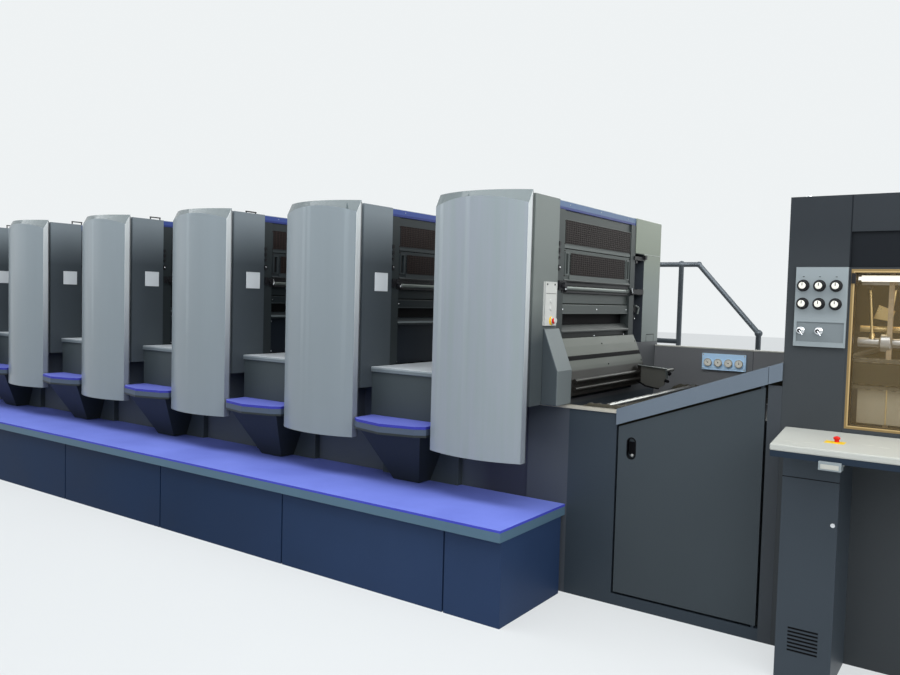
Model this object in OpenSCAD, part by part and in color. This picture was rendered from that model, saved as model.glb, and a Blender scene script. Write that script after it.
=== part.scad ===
// Sheet-fed offset printing press: a feeder, six printing units in a row, and a delivery.
// +X runs along the press toward the delivery, +Y away from the operator side, +Z up.
// The lengths below are measured from the left edge of the first unit's cover, and the
// finished press is then shifted so that its origin is the middle of its foot on the floor.

/* [Printing units] */
// Distance from one printing unit to the next
unit_pitch = 1175; // [1100:5:1400]
// Length of a unit's housing along the press
unit_len = 596; // [560:1:640]
// Height of the housings
unit_top = 2160; // [2120:5:2300]
// Height of the cast base that carries a unit's housings
base_top = 1042; // [1040:1:1060]
// Distance of the base's front behind the covers' side edges
base_front = 332; // [322:2:345]
// Distance of the operator housing's front behind the covers' side edges
housing_front = 60; // [60:1:80]
// Width of the operator side housing across the press
operator_w = 274; // [270:1:320]
// Clear width between the two side housings
inner_w = 1095; // [1000:1:1250]
// Width of the drive side housing across the press
drive_w = 450; // [420:1:500]
// Height at which the drive side housing sits on its base
drive_seat = 1340; // [1300:5:1380]
// Depth by which the inner panels lie behind the housings' faces
recess_d = 60; // [55:1:80]
// Width and depth of the seams round the panels on the drive side
seam_w = 5; // [3:1:8]
// Width of the levers' bay in the drive side housing
bay_w = 150; // [130:1:170]
// Height of the upper end of the levers' bay
bay_z = 1930; // [1915:1:1945]

/* [Silver covers] */
// Width of a cover
cover_w = 590; // [560:1:592]
// Height of a cover's lower edge
cover_foot = 745; // [700:5:790]
// Height of a cover's upper edge
cover_top = 2176; // [2165:1:2300]
// How far a cover bulges toward the operator
cover_bulge = 66; // [50:1:80]
// Depth of a cover's side walls
cover_side = 42; // [38:1:43]
// Thickness of a cover's sheet and folded edges
cover_t = 10; // [6:1:10]
// Height of the slanted cap at a cover's side edges
cap_h = 70; // [20:1:80]
// Height of the slanted cap at the middle of a cover
cap_mid_h = 30; // [15:1:40]
// Height of a cover's lower hinge above its lower edge
hinge_low = 420; // [380:5:500]
// Distance of a cover's upper hinge below its upper edge
hinge_high = 160; // [120:5:300]

/* [Guards in the recess] */
// Height of the blue band at the top of the recess
band_h = 50; // [40:1:60]
// Height of the upper grille panel's lower edge
upper_grille_z = 1912; // [1905:1:1920]
// Height of the upper grille panel
upper_grille_h = 149; // [120:1:155]
// Height of the lower grille guard
guard_h = 190; // [170:1:195]
// Thickness of a guard panel
guard_t = 22; // [18:1:26]
// Gap above the lower guard
guard_gap = 18; // [16:1:20]
// Width of the fixed side posts beside the guards
post_w = 76; // [60:1:90]
// Radius of a guard's hinge pins
guard_pin_r = 7; // [5:0.5:8]
// Radius of the bead along a guard's lower edge
bead_r = 12; // [8:1:13]
// Height of the chromed bar's axis
bar_z = 1676; // [1670:1:1684]
// Radius of the chromed bar
bar_r = 17; // [9:1:17]
// Height of the upper fixed panel's lower edge
panel_a_z = 1589; // [1570:1:1600]
// Height of the middle fixed panel's lower edge
panel_b_z = 1530; // [1500:1:1545]
// Height of the ledge's top
ledge_z = 1467; // [1440:1:1480]
// Thickness of the ledge
ledge_t = 45; // [20:1:50]
// Radius of the knobs beside the recess
knob_r = 17; // [12:1:20]

/* [Gaps between units] */
// Height of the platform between two units
platform_z = 1167; // [1130:1:1180]
// Thickness of the platform plate
platform_t = 31; // [20:1:40]
// Distance of the upper block's front behind the covers' side edges
block_front = 165; // [150:1:200]
// Distance of the lower block's front behind the covers' side edges
gap_front = 290; // [270:5:310]
// Height of the step pad's tread
step_z = 870; // [840:1:900]
// Thickness of the step pad's blue mat
step_mat_t = 16; // [5:1:20]
// Thickness of the step bracket under the mat
step_t = 46; // [30:1:60]
// How far the middle of a step reaches toward the operator
step_reach = 95; // [60:1:110]

/* [Walkway] */
// Height of the walkway
walk_z = 490; // [450:5:520]
// Distance of the walkway's front edge before the covers' side edges
walk_front = 355; // [300:5:420]
// Length of the walkway past the first unit's housing
walk_past = 94; // [60:1:110]
// Thickness of the deck
deck_t = 48; // [30:1:60]
// Thickness of the blue mat on the deck
mat_t = 12; // [3:1:16]
// How far the front panels lie behind the deck's edge
panel_back = 25; // [15:1:40]
// Thickness of the front panels
panel_t = 20; // [12:1:30]
// Distance of the front panels' first joint from the first cover's left edge
joint_x = 345; // [300:5:400]

/* [Sheet guard at the first unit] */
// How far the cheek and the sheet guard stand out from the unit
cheek_d = 94; // [80:1:110]
// Height of the cheek
cheek_top = 1452; // [1430:1:1470]
// Height of the cheek's bend
cheek_knee = 1228; // [1200:1:1260]
// Width of the cheek across the press
cheek_w = 173; // [150:1:176]
// Height of the sheet guard's upper edge
sheet_top = 1393; // [1370:1:1410]
// Height of the sheet guard's bend
sheet_knee = 1170; // [1150:1:1200]
// Length of the bracket that stands out from the sheet guard
bracket_len = 192; // [170:1:200]
// Distance of that bracket from the far end of the guard
bracket_in = 122; // [100:1:200]
// Height of the white control strip's lower edge
strip_z = 1468; // [1460:1:1500]
// Height of the white control strip
strip_h = 236; // [200:1:260]

/* [Delivery] */
// Thickness of the near wall's flange in front of the base
flange_t = 6; // [4:1:10]
// Distance between the near wall's and the far wall's faces
delivery_w = 1504; // [1480:2:1520]
// Thickness of the two walls
wall_t = 40; // [30:1:45]
// Height of the low part of the near wall
low_wall_z = 1036; // [1000:1:1039]
// Thickness of the ledge on the low part
low_ledge_t = 16; // [10:1:24]
// Start of the sloped band along the press
band_x = 975; // [940:5:1000]
// Height of the band's upper edge at its start
band_z = 1045; // [1030:1:1060]
// Height of the band's face
band_face = 85; // [60:1:100]
// Start of the delivery tower along the press
tower_x = 1790; // [1780:5:1820]
// Height of the band's upper edge at the tower
band_end_z = 1344; // [1320:1:1360]
// Height of the far wall
far_wall_z = 1312; // [1290:1:1330]
// Height of the closed body under the sheet path
body_z = 860; // [820:5:880]
// Width of the near wall's fixed strip beside the tower
strip_w = 62; // [55:1:80]
// Thickness of the side door
door_t = 24; // [20:1:28]
// Gap round the side door
door_gap = 12; // [12:1:16]
// Radius of the side door's hinge pins
door_pin_r = 9; // [7:0.5:9]
// Height of the sill under the side door
sill_h = 60; // [40:1:80]
// Height of the door's grip recess above the floor
pull_z = 793; // [700:1:820]
// Length of the door's grip recess
pull_h = 104; // [90:1:120]

/* [Gripper chains] */
// Height of the chains' middle at the first unit
chain_z = 985; // [980:1:990]
// Distance of the first sprockets from the first unit's housing
chain_start = 200; // [190:5:240]
// Half the distance between a chain's two runs
chain_half = 60; // [58:1:62]
// Pitch of the chains' links
link_pitch = 50; // [40:1:60]
// Half the height of a link at its pin
link_r = 11; // [9:0.5:11]
// Half the height of a link at its waist
link_waist = 7; // [5:0.5:8]
// Width of a chain
chain_w = 14; // [10:1:16]
// Width of a chain's guide rail
rail_w = 30; // [26:1:36]
// Radius of a gripper bar
gripper_r = 10.5; // [8:0.5:10.5]
// Width of a gripper
gripper_w = 18; // [14:1:24]
// Distance of the first gripper from the end of its bar
gripper_edge = 60; // [50:1:80]
// Links between one gripper bar and the next
bar_step = 12; // [10:1:14]

/* [Delivery tower] */
// Length of the tower along the press
tower_len = 1910; // [1800:10:2100]
// Height of the tower
tower_top = 2108; // [2080:1:2150]
// Length of the near column that carries the air controls
column_len = 260; // [250:5:280]
// Length of the end column
end_len = 240; // [220:5:300]
// Height of the window's lower edge
window_foot = 1057; // [1050:1:1080]
// Height of the window's upper edge
window_head = 1786; // [1760:1:1800]
// Width of the window's frame
window_frame_w = 26; // [18:1:34]
// Height of the header's lower edge
header_z = 1944; // [1930:1:1960]
// Height of the air control panel
air_panel_h = 361; // [340:1:370]
// Radius of the air control knobs
air_knob_r = 21; // [16:1:24]
// Height of the console table
table_z = 1046; // [1020:1:1049]
// Thickness of the console table
table_t = 28; // [20:1:36]
// Depth of the console table toward the operator
table_d = 540; // [480:5:560]
// Length of the console table
table_len = 900; // [800:10:1000]
// Length of the cabinet under the console table
cabinet_len = 224; // [200:1:260]
// How far the cabinet stands back from the table's edge
cabinet_back = 210; // [180:5:240]
// Length of the box under the table's edge
edge_box_len = 90; // [80:1:110]
// Depth of the box under the table's edge
edge_box_d = 80; // [60:1:100]

/* [Drive side] */
// Height of the drive side gallery
gallery_z = 880; // [800:5:900]
// Width of the gallery
gallery_w = 600; // [550:5:700]
// Height of the handrail above the gallery
rail_h = 1026; // [1000:1:1050]
// Radius of the handrail's tubes
rail_r = 19; // [16:1:19]
// Distance of the handrail's middle tube below its upper one
rail_mid = 588; // [560:1:600]
// Fall of the handrail beside the steps
rail_fall = 500; // [480:1:520]

/* [Feeder] */
// Length of the infeed housing beside the last unit
infeed_len = 420; // [380:10:480]
// Height of the infeed housing
infeed_top = 1420; // [1380:10:1460]
// Length of the feed board
board_len = 900; // [800:10:1000]
// Height of the feed board at the feeder
board_high = 1240; // [1200:5:1280]
// Height of the feed board at the infeed housing
board_low = 1080; // [1040:5:1120]
// Thickness of the feed board
board_t = 40; // [30:1:50]
// Length of the feeder's side frames
feeder_len = 1450; // [1300:10:1600]
// Height of the feeder's side frames
feeder_top = 1700; // [1650:10:1750]
// Thickness of the feeder's side frames
frame_t = 80; // [60:1:90]
// Height of the feeder's pile board
feeder_board_z = 190; // [150:5:240]

/* [Hidden] */
unit_count = 6;
eps = 1;
$fn = 48;

// Seat between pieces that touch without being one
seat = 0.3;
// Lines across the press
inner_front = housing_front + operator_w;
inner_back = inner_front + inner_w;
drive_back = inner_back + drive_w;
// Ends of the row of units
row_start = -(unit_count - 1) * unit_pitch;
gap_len = unit_pitch - unit_len;
// Ends of the whole press
feeder_x = row_start - infeed_len - board_len - feeder_len;
tower_end = tower_x + tower_len;
gallery_back = drive_back + gallery_w;
mid_x = (feeder_x + tower_end) / 2;
mid_y = (gallery_back - walk_front) / 2;

// Faces in the recess of a unit
core_face = unit_len - recess_d;
core_top = unit_top - band_h - 6;
frame_foot = base_top + 128;
guard_x = unit_len - guard_t - 8;
guard_top = upper_grille_z - guard_gap;
guard_axis_x = guard_x + guard_t / 2;
guard_axis_z = guard_top - 12;
guard_end_gap = 6;
guard_front = inner_front + post_w + guard_end_gap;
guard_back = inner_back - post_w - guard_end_gap;
// Free width between the posts, where the fixed panels sit
panel_front = inner_front + post_w + seat;
panel_rear = inner_back - post_w - seat;

// Radius of a cover's front from its width and bulge
cover_r = (pow(cover_w / 2, 2) + pow(cover_bulge, 2)) / (2 * cover_bulge);
// Slope of a cover's cap across the press
cap_slope = cap_h / (cover_side - 4);
// Axis of a cover's hinge, and the arm that reaches it from the housing
hinge_x = 26;
hinge_y = 18;
hinge_r = 6;
hinge_arm = 16;
hinge_leg_x = 62;

// Step between two units, clear of the covers on both sides
step_x0 = max(0, cover_w - unit_len) + 8;
step_x1 = gap_len - 30;
// Ends of the walkway and its back edge
walk_x0 = row_start - 40;
walk_x1 = unit_len + walk_past;
near_wall_y = base_front - flange_t;
walk_back = near_wall_y - seat;

// Lines of the delivery
far_wall_y = near_wall_y + delivery_w;
wall_in = near_wall_y + wall_t;
flange_len = 150;
slope = (band_end_z - band_z) / (tower_x - band_x);
door_x0 = band_x + door_gap;
door_x1 = tower_x - strip_w - door_gap;
door_axis_x = door_x1 - 14;
door_axis_y = near_wall_y + door_t / 2;
pull_x = door_x0 + 53;
pull_w = 40;
window_x0 = tower_x + column_len;
window_x1 = tower_end - end_len;
tower_wall_t = 40;

// The chains' middle line, from the first sprockets up into the tower
chain_a = [unit_len + chain_start, chain_z];
chain_b = [band_x + 120, chain_z];
chain_c = [tower_x + 200, chain_z + (tower_x + 80 - band_x) * slope];
chain_d = [tower_end - 200, chain_c[1]];
chain_y0 = wall_in + 8;
chain_y1 = far_wall_y - 8 - chain_w;
rail_half = chain_half - (link_r + 3 * seat) / cos(atan(slope));
sprocket_t = rail_w - 8 - chain_w - seat;
up = [0, chain_half];
chain_pins = concat(run(chain_a + up, chain_b + up), run(chain_b + up, chain_c + up),
    run(chain_c + up, chain_d + up), turn(chain_d, 90, -90), run(chain_d - up, chain_c - up),
    run(chain_c - up, chain_b - up), run(chain_b - up, chain_a - up), turn(chain_a, 270, 90));
// Air control panel on the tower's column
air_x0 = tower_x + 40;
air_x1 = window_x0 - 2;
air_t = 14;
// Handrail
rail_y = gallery_back - 45;
rail_z = gallery_z + rail_h;

// Bulge of a cover's front at a place along it, and the line that its cap follows there
function bulge_at(x) = sqrt(pow(cover_r, 2) - pow(x - cover_w / 2, 2)) - cover_r + cover_bulge;
function cap_line(x) = -cap_h + (cap_slope * cover_bulge - cap_mid_h + cap_h) * bulge_at(x) / cover_bulge;

// Height of the band's upper edge and of the door's upper edge at a place along the press
function band_top_at(x) = band_z + (x - band_x) * slope;
function door_top_at(x) = band_top_at(x) - band_face - door_gap;

// Pins along a straight run of the chain, without its last end
function run(a, b) = let(n = max(1, round(norm(b - a) / link_pitch)))
    [for (i = [0 : n - 1]) a + (b - a) * i / n];

// Pins round a sprocket between two angles
function turn(c, from, to) = let(n = max(2, round(PI * chain_half / link_pitch)))
    [for (i = [0 : n - 1]) let(t = from + (to - from) * i / n) c + chain_half * [cos(t), sin(t)]];

// Outline of one side of the chain: wide at each pin, narrow at each waist
function chain_edge(side) = [for (i = [0 : len(chain_pins) - 1])
    let(p = chain_pins[i], q = chain_pins[(i + 1) % len(chain_pins)], d = (q - p) / norm(q - p),
        n = side * [-d[1], d[0]])
    each [p + d * link_r * 0.6 + n * link_r, p + d * link_r * 1.3 + n * link_waist,
        q - d * link_r * 1.3 + n * link_waist, q - d * link_r * 0.6 + n * link_r]];

module place() {
    translate([-mid_x, -mid_y, 0]) children();
}

module each_unit() {
    for (k = [0 : unit_count - 1]) translate([-k * unit_pitch, 0, 0]) children();
}

module each_gap() {
    for (k = [0 : unit_count - 2]) translate([unit_len - (k + 1) * unit_pitch, 0, 0]) children();
}

// A box between two corners
module block(low, high) {
    translate(low) cube(high - low);
}

// An outline in X and Z, drawn across the press from y0 to y1
module across(y0, y1) {
    translate([0, y1, 0]) rotate([90, 0, 0]) linear_extrude(y1 - y0) children();
}

// A round bar across the press
module cross_bar(x, z, y0, y1, r) {
    translate([x, y0, z]) rotate([-90, 0, 0]) cylinder(h = y1 - y0, r = r);
}

// A round knob that stands out from a face toward +X
module knob_out(x, y, z, r, len) {
    translate([x, y, z]) rotate([0, 90, 0]) cylinder(h = len, r = r);
}

// A round knob that stands out from a face toward the operator
module knob_front(x, y, z, r, len) {
    translate([x, y, z]) rotate([90, 0, 0]) cylinder(h = len, r = r);
}

// A seam cut round a panel in a face toward +Y
module panel_seam(x0, z0, x1, z1, y) {
    difference() {
        block([x0, y - seam_w, z0], [x1, y + eps, z1]);
        block([x0 + seam_w, y - 2 * seam_w, z0 + seam_w], [x1 - seam_w, y + 2 * eps, z1 - seam_w]);
    }
}

// Cast base of each unit, with the box that the cover hides
module unit_bases() {
    color("#3b4148") place() each_unit() {
        block([0, base_front, 0], [unit_len, drive_back, base_top - seat]);
        block([0, inner_back, base_top - 2 * eps], [unit_len, drive_back, drive_seat - seat]);
        block([80, housing_front + 10, cover_foot + 40], [unit_len - 196, base_front + eps, base_top - seat]);
    }
}

// Housing on the operator side, with the hinge lugs of its cover
module operator_housings() {
    color("#6f7778") place() each_unit() {
        block([0, housing_front, base_top], [unit_len, inner_front, unit_top]);
        for (z = [cover_foot + hinge_low, cover_top - hinge_high]) hinge_lug(z);
    }
}

// A lug on the housing: a leg, an arm to the hinge's axis, and the pin that a cover turns on
module hinge_lug(z) {
    half = hinge_arm / 2;
    block([hinge_leg_x, hinge_y - half, z], [hinge_leg_x + hinge_arm, housing_front + eps, z + hinge_arm]);
    block([hinge_x, hinge_y - half, z], [hinge_leg_x + eps, hinge_y + half, z + hinge_arm]);
    translate([hinge_x, hinge_y, z]) cylinder(h = hinge_arm, r = half);
    translate([hinge_x, hinge_y, z + hinge_arm - eps]) cylinder(h = 40, r = hinge_r);
}

// Housing on the drive side, with the levers' bay and the seams of its two panels
module drive_housings() {
    rim = 22;
    middle = unit_len / 2;
    color("#7d8585") place() each_unit() difference() {
        block([0, inner_back, drive_seat], [unit_len, drive_back, unit_top]);
        block([core_face, inner_back - eps, drive_seat - eps], [unit_len + eps, inner_back + bay_w, bay_z]);
        panel_seam(rim, drive_seat + rim, middle - rim / 4, unit_top - rim, drive_back);
        panel_seam(middle + rim / 4, drive_seat + rim, unit_len - rim, unit_top - rim, drive_back);
    }
}

// Closed inner part of each unit, between the two housings
module unit_cores() {
    color("#2b2c2f") place() each_unit()
        block([40, inner_front + seat, base_top], [core_face, inner_back - seat, core_top]);
}

// Roof plate of each unit with its two wire handles
module unit_tops() {
    roof = unit_top - 6;
    color("#8a9191") place() each_unit() {
        block([40, inner_front + seat, core_top + seat], [core_face - seat, inner_back - seat, roof]);
        for (y = [inner_front + 130, inner_back - 130]) wire_handle(unit_len / 2, y, roof);
    }
}

// A bent wire handle standing on a surface
module wire_handle(x, y, z) {
    wire_r = 5;
    span = 90;
    rise = 52;
    for (s = [-1, 1]) translate([x, y + s * span / 2, z - eps]) cylinder(h = rise, r = wire_r, $fn = 24);
    translate([x, y - span / 2 - wire_r, z + rise]) rotate([-90, 0, 0])
        cylinder(h = span + 2 * wire_r, r = wire_r, $fn = 24);
}

// Blue band at the top of each recess
module duct_bands() {
    color("#4a5f9c") place() each_unit()
        block([core_face, inner_front + seat, unit_top - band_h], [unit_len - 6, inner_back - seat, unit_top - 4]);
}

// Fixed frame round the guards: two posts and a head, with the bores of the guards' pins
module guard_posts() {
    frame_top = unit_top - band_h - seat;
    color("#4b5152") place() each_unit() difference() {
        union() {
            for (y = [inner_front + seat, inner_back - post_w])
                block([core_face + seat, y, frame_foot], [unit_len - 4, y + post_w - seat, frame_top]);
            block([core_face + seat, inner_front + seat, upper_grille_z + upper_grille_h + seat],
                [unit_len - 14, inner_back - seat, frame_top]);
        }
        cross_bar(guard_axis_x, guard_axis_z, inner_front + post_w - 40, inner_back - post_w + 40,
            guard_pin_r + 0.5);
    }
}

// Upper grille panel: a frame with slats
module upper_grilles() {
    color("#3a2f2c") place() each_unit()
        grille(panel_front, panel_rear, upper_grille_z, upper_grille_z + upper_grille_h, 18, 26, 8);
}

// A panel with a frame and level slats in a shallow recess
module grille(y0, y1, z0, z1, rim, side, slats) {
    step = (z1 - z0 - 2 * rim) / slats;
    depth = 6;
    difference() {
        block([guard_x, y0, z0], [guard_x + guard_t, y1, z1]);
        for (i = [0 : slats - 1])
            block([guard_x + guard_t - depth, y0 + side, z0 + rim + (i + 0.4) * step],
                [guard_x + guard_t + eps, y1 - side, z0 + rim + (i + 1) * step]);
    }
}

// Lower grille guard of one unit, with its grips and its bead, hung on its two pins
module guard(i) {
    foot = guard_top - guard_h;
    side = 70;
    grip_w = 22;
    pin_len = 26;
    color("#3d3331") place() translate([-(i - 1) * unit_pitch, 0, 0]) {
        difference() {
            grille(guard_front, guard_back, foot, guard_top, 30, side, 7);
            for (y = [guard_front + grip_w, guard_back - 2 * grip_w])
                block([guard_x + guard_t - 12, y, foot + 52], [guard_x + guard_t + eps, y + grip_w, guard_top - 26]);
        }
        cross_bar(guard_x + guard_t - bead_r / 2, foot + bead_r + 2, guard_front, guard_back, bead_r);
        cross_bar(guard_axis_x, guard_axis_z, guard_front - pin_len, guard_front + eps, guard_pin_r);
        cross_bar(guard_axis_x, guard_axis_z, guard_back - eps, guard_back + pin_len, guard_pin_r);
    }
}

// Fixed panels and the ledge under the chromed bar
module lower_panels() {
    low = [core_face + seat, panel_front, 0];
    color("#50585a") place() each_unit() {
        block([low[0], low[1], panel_a_z], [unit_len - 24, panel_rear, bar_z - bar_r - 10]);
        block([low[0], low[1], panel_b_z], [unit_len - 14, panel_rear, panel_a_z - seam_w]);
        across(low[1], panel_rear) polygon([[low[0], ledge_z], [unit_len - 36, ledge_z],
            [unit_len - 2, ledge_z - 0.75 * ledge_t], [unit_len - 2, ledge_z - ledge_t], [low[0], ledge_z - ledge_t]]);
        block([low[0], low[1], frame_foot], [unit_len - 26, panel_rear, ledge_z - ledge_t + eps]);
    }
}

// Chromed bar with its two end collars
module chrome_bars() {
    collar = 40;
    bar_x = unit_len - bar_r - 6;
    color("#d5d8da") place() each_unit() {
        cross_bar(bar_x, bar_z, panel_front, panel_rear, bar_r);
        cross_bar(bar_x, bar_z, panel_front, panel_front + collar, bar_r + 2);
        cross_bar(bar_x, bar_z, panel_rear - collar, panel_rear, bar_r + 2);
    }
}

// A knob beside the chromed bar, and in the bay a lever, a block and two knobs
module recess_levers() {
    back = core_face + seat;
    lever_z = bay_z - 30;
    lever_x = unit_len - 14;
    y0 = inner_back + 12;
    y1 = inner_back + bay_w;
    color("#1c1d1f") place() each_unit() {
        two_step_knob(unit_len - 4 + seat, inner_front + post_w - 24, bar_z + 14, knob_r);
        cross_bar(lever_x, lever_z, y0, y1 - 10, 11);
        block([back, y0 + 10, lever_z - 34], [lever_x + 6, y0 + 44, lever_z + 10]);
        block([back, y1 - 34, lever_z + 2], [back + 30, y1 - 12, lever_z + 26]);
        block([back, y0 + 50, bar_z - 20], [unit_len - 6, y1 - 14, bar_z + 20]);
        two_step_knob(back, y0 + 78, panel_b_z + 32, 1.5 * knob_r);
        two_step_knob(back, y0 + 66, panel_b_z - 22, 0.8 * knob_r);
    }
}

// A knob with a narrow neck on a face toward +X
module two_step_knob(x, y, z, r) {
    knob_out(x, y, z, r * 0.6, 14);
    knob_out(x + 12, y, z, r, 18);
}

// Plan of a cover, drawn in by the given amount
module cover_plan(inset) {
    intersection() {
        translate([cover_w / 2, cover_r - cover_bulge]) circle(r = cover_r - inset, $fn = 96);
        translate([inset, -cover_bulge]) square([cover_w - 2 * inset, cover_bulge + cover_side + inset]);
    }
}

// Keeps a cover's plan in front of its open back
module cover_edge() {
    intersection() {
        children();
        translate([0, -cover_bulge]) square([cover_w, cover_bulge + cover_side]);
    }
}

// What is cut off at a cover's upper edge: all that lies above the slanted cap
module cap_cut(drop) {
    tilt = atan(cap_slope);
    steps = 14;
    reach = 3 * (cover_bulge + cover_side);
    span = cover_w + 2 * cover_t;
    translate([0, 0, cover_top - drop]) rotate([tilt - 90, 0, 0]) translate([0, 0, -reach]) linear_extrude(2 * reach)
        polygon(concat([for (i = [0 : steps]) let(x = span * i / steps - cover_t) [x, -cap_line(x) * cos(tilt)]],
            [[cover_w + cover_t, -reach], [-cover_t, -reach]]));
}

// Curved silver cover of one unit, open at its back, with its cap and its hinge eyes
module cover(i) {
    height = cover_top - cover_foot;
    color("#a9b2bb") place() translate([-(i - 1) * unit_pitch, 0, 0]) {
        difference() {
            translate([0, 0, cover_foot]) linear_extrude(height) cover_edge() cover_plan(0);
            cap_cut(0);
            difference() {
                translate([0, 0, cover_foot + cover_t]) linear_extrude(height - 2 * cover_t) cover_plan(cover_t);
                cap_cut(2 * cover_t);
            }
        }
        for (z = [cover_foot + hinge_low, cover_top - hinge_high]) hinge_eye(z + hinge_arm + 2);
    }
}

// Eye on a cover that turns on the housing's pin
module hinge_eye(z) {
    eye_r = 11;
    eye_h = 18;
    difference() {
        union() {
            block([eps, hinge_y - eye_r, z], [hinge_x, hinge_y + eye_r, z + eye_h]);
            translate([hinge_x, hinge_y, z]) cylinder(h = eye_h, r = eye_r);
        }
        translate([hinge_x, hinge_y, z - eps]) cylinder(h = eye_h + 2 * eps, r = hinge_r + 0.4);
    }
}

// Block under the platform in each gap
module gap_blocks() {
    top = platform_z - platform_t - seat;
    color("#343a40") place() each_gap() {
        block([seat, gap_front, 0], [gap_len - seat, drive_back, top]);
        block([seat, block_front, step_z + seat], [gap_len - seat, gap_front + eps, top]);
    }
}

// Light platform plate in each gap
module platforms() {
    color("#9aa1a4") place() each_gap()
        block([seat, block_front - 12, platform_z - platform_t], [gap_len - seat, drive_back, platform_z]);
}

// Plan of a step, straight at the back, with a front of two long edges and two short ones
module step_plan(inset) {
    mid = (step_x0 + step_x1) / 2;
    corner = 0.1 * (step_x1 - step_x0);
    low = -step_reach + inset;
    polygon([[step_x0 + inset, gap_front - seat], [step_x0 + inset, 0], [step_x0 + corner, 0.45 * low],
        [mid, low], [step_x1 - corner, 0.45 * low], [step_x1 - inset, 0], [step_x1 - inset, gap_front - seat]]);
}

// Grey bracket under each step mat, and the tapered console that carries it from the base
module step_brackets() {
    foot = step_z - step_mat_t - step_t;
    width = step_x1 - step_x0;
    top_in = 0.08 * width;
    foot_in = 0.32 * width;
    back = gap_front - seat;
    color("#8b9499") place() each_gap() {
        translate([0, 0, foot]) linear_extrude(step_t) step_plan(0);
        hull() {
            block([step_x0 + top_in, 0, foot - eps], [step_x1 - top_in, back, foot + eps]);
            block([step_x0 + foot_in, 0.6 * gap_front, walk_z + 4], [step_x1 - foot_in, back, walk_z + 5]);
        }
    }
}

// Blue mat on each step
module step_mats() {
    color("#5b63c8") place() each_gap() translate([0, 0, step_z - step_mat_t])
        linear_extrude(step_mat_t) step_plan(4);
}

// Plan of the walkway, notched round the blocks in the gaps
module walk_layer(z0, z1) {
    difference() {
        block([walk_x0, -walk_front, z0], [walk_x1, walk_back, z1]);
        each_gap() block([0, gap_front - seat, z0 - eps], [gap_len, walk_back + eps, z1 + eps]);
    }
}

module walkway_deck() {
    color("#2c3560") place() walk_layer(walk_z - mat_t - deck_t, walk_z - mat_t);
}

module walkway_mat() {
    color("#4f58c0") place() walk_layer(walk_z - mat_t, walk_z);
}

// Panels under the walkway: a bay to each unit, with ribs behind the joints and at the ends
module walkway_panels() {
    top = walk_z - mat_t - deck_t;
    front = -walk_front + panel_back;
    joint_gap = 5;
    joints = concat([walk_x0], [for (k = [unit_count - 1 : -1 : 0]) joint_x - k * unit_pitch], [walk_x1]);
    color("#232c52") place() {
        for (i = [0 : len(joints) - 2])
            block([joints[i] + joint_gap, front, 0], [joints[i + 1] - joint_gap, front + panel_t, top]);
        for (x = joints) {
            rib_x = min(max(x - panel_t, walk_x0 + joint_gap), walk_x1 - joint_gap - 2 * panel_t);
            block([rib_x, front + panel_t - eps, 0], [rib_x + 2 * panel_t, gap_front - seat, top]);
        }
    }
}

// White strip with a stop button on the first unit
module control_strip() {
    strip_y = inner_front - 160;
    button_y = strip_y + 80;
    color("#e6e6e2") place() {
        block([unit_len + seat, strip_y, strip_z], [unit_len + 12, strip_y + 129, strip_z + strip_h]);
        knob_out(unit_len + 12 - eps, button_y, strip_z + 28, 20, 12);
        knob_out(unit_len + 22, button_y, strip_z + 28, 14, 16);
    }
}

// Slanted cheek at the foot of the first unit's delivery side
module cheek_block() {
    x0 = unit_len + seat;
    x1 = unit_len + cheek_d;
    color("#8d9698") place() across(inner_front - cheek_w + 22, inner_front + 22)
        polygon([[x0, base_top], [x1, base_top], [x1, cheek_knee], [unit_len + 8, cheek_top], [x0, cheek_top]]);
}

// Curved sheet guard between the cheek and the far housing, with two bars at its foot
// and a bracket that stands out over the chains
module sheet_guard() {
    x1 = unit_len + cheek_d;
    foot = base_top + 40;
    y0 = inner_front + 22 + seat;
    y1 = inner_back - 8;
    drop = sheet_top - sheet_knee;
    curve = [for (t = [0 : 0.25 : 1]) [unit_len + 4 + (cheek_d - 4) * t, sheet_top - drop * (0.75 * t + 0.25 * t * t)]];
    seam_z = sheet_top - drop / 2;
    bracket_y = y1 - bracket_in;
    s = bracket_len / 192;
    color("#7b8280") place() {
        difference() {
            across(y0, y1) polygon(concat(curve, [[x1, foot], [unit_len + seat, foot], [unit_len + seat, sheet_top]]));
            block([unit_len + cheek_d / 2, y0 - eps, seam_z], [x1 + eps, y1 + eps, seam_z + 4]);
        }
        for (z = [sheet_knee - 8, sheet_knee - 52]) cross_bar(x1 + 8, z, y0 + 20, y1 - 20, 13);
        across(bracket_y, bracket_y + 12)
            translate([x1, sheet_knee]) polygon([[-eps, -60 * s], [-eps, 35 * s], [30 * s, 30 * s],
                [186 * s, 20 * s], [192 * s, -40 * s], [175 * s, -84 * s], [140 * s, -104 * s], [60 * s, -92 * s]]);
        cross_bar(x1 + 186 * s, sheet_knee + 10 * s, bracket_y, y1, 10);
    }
}

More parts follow.
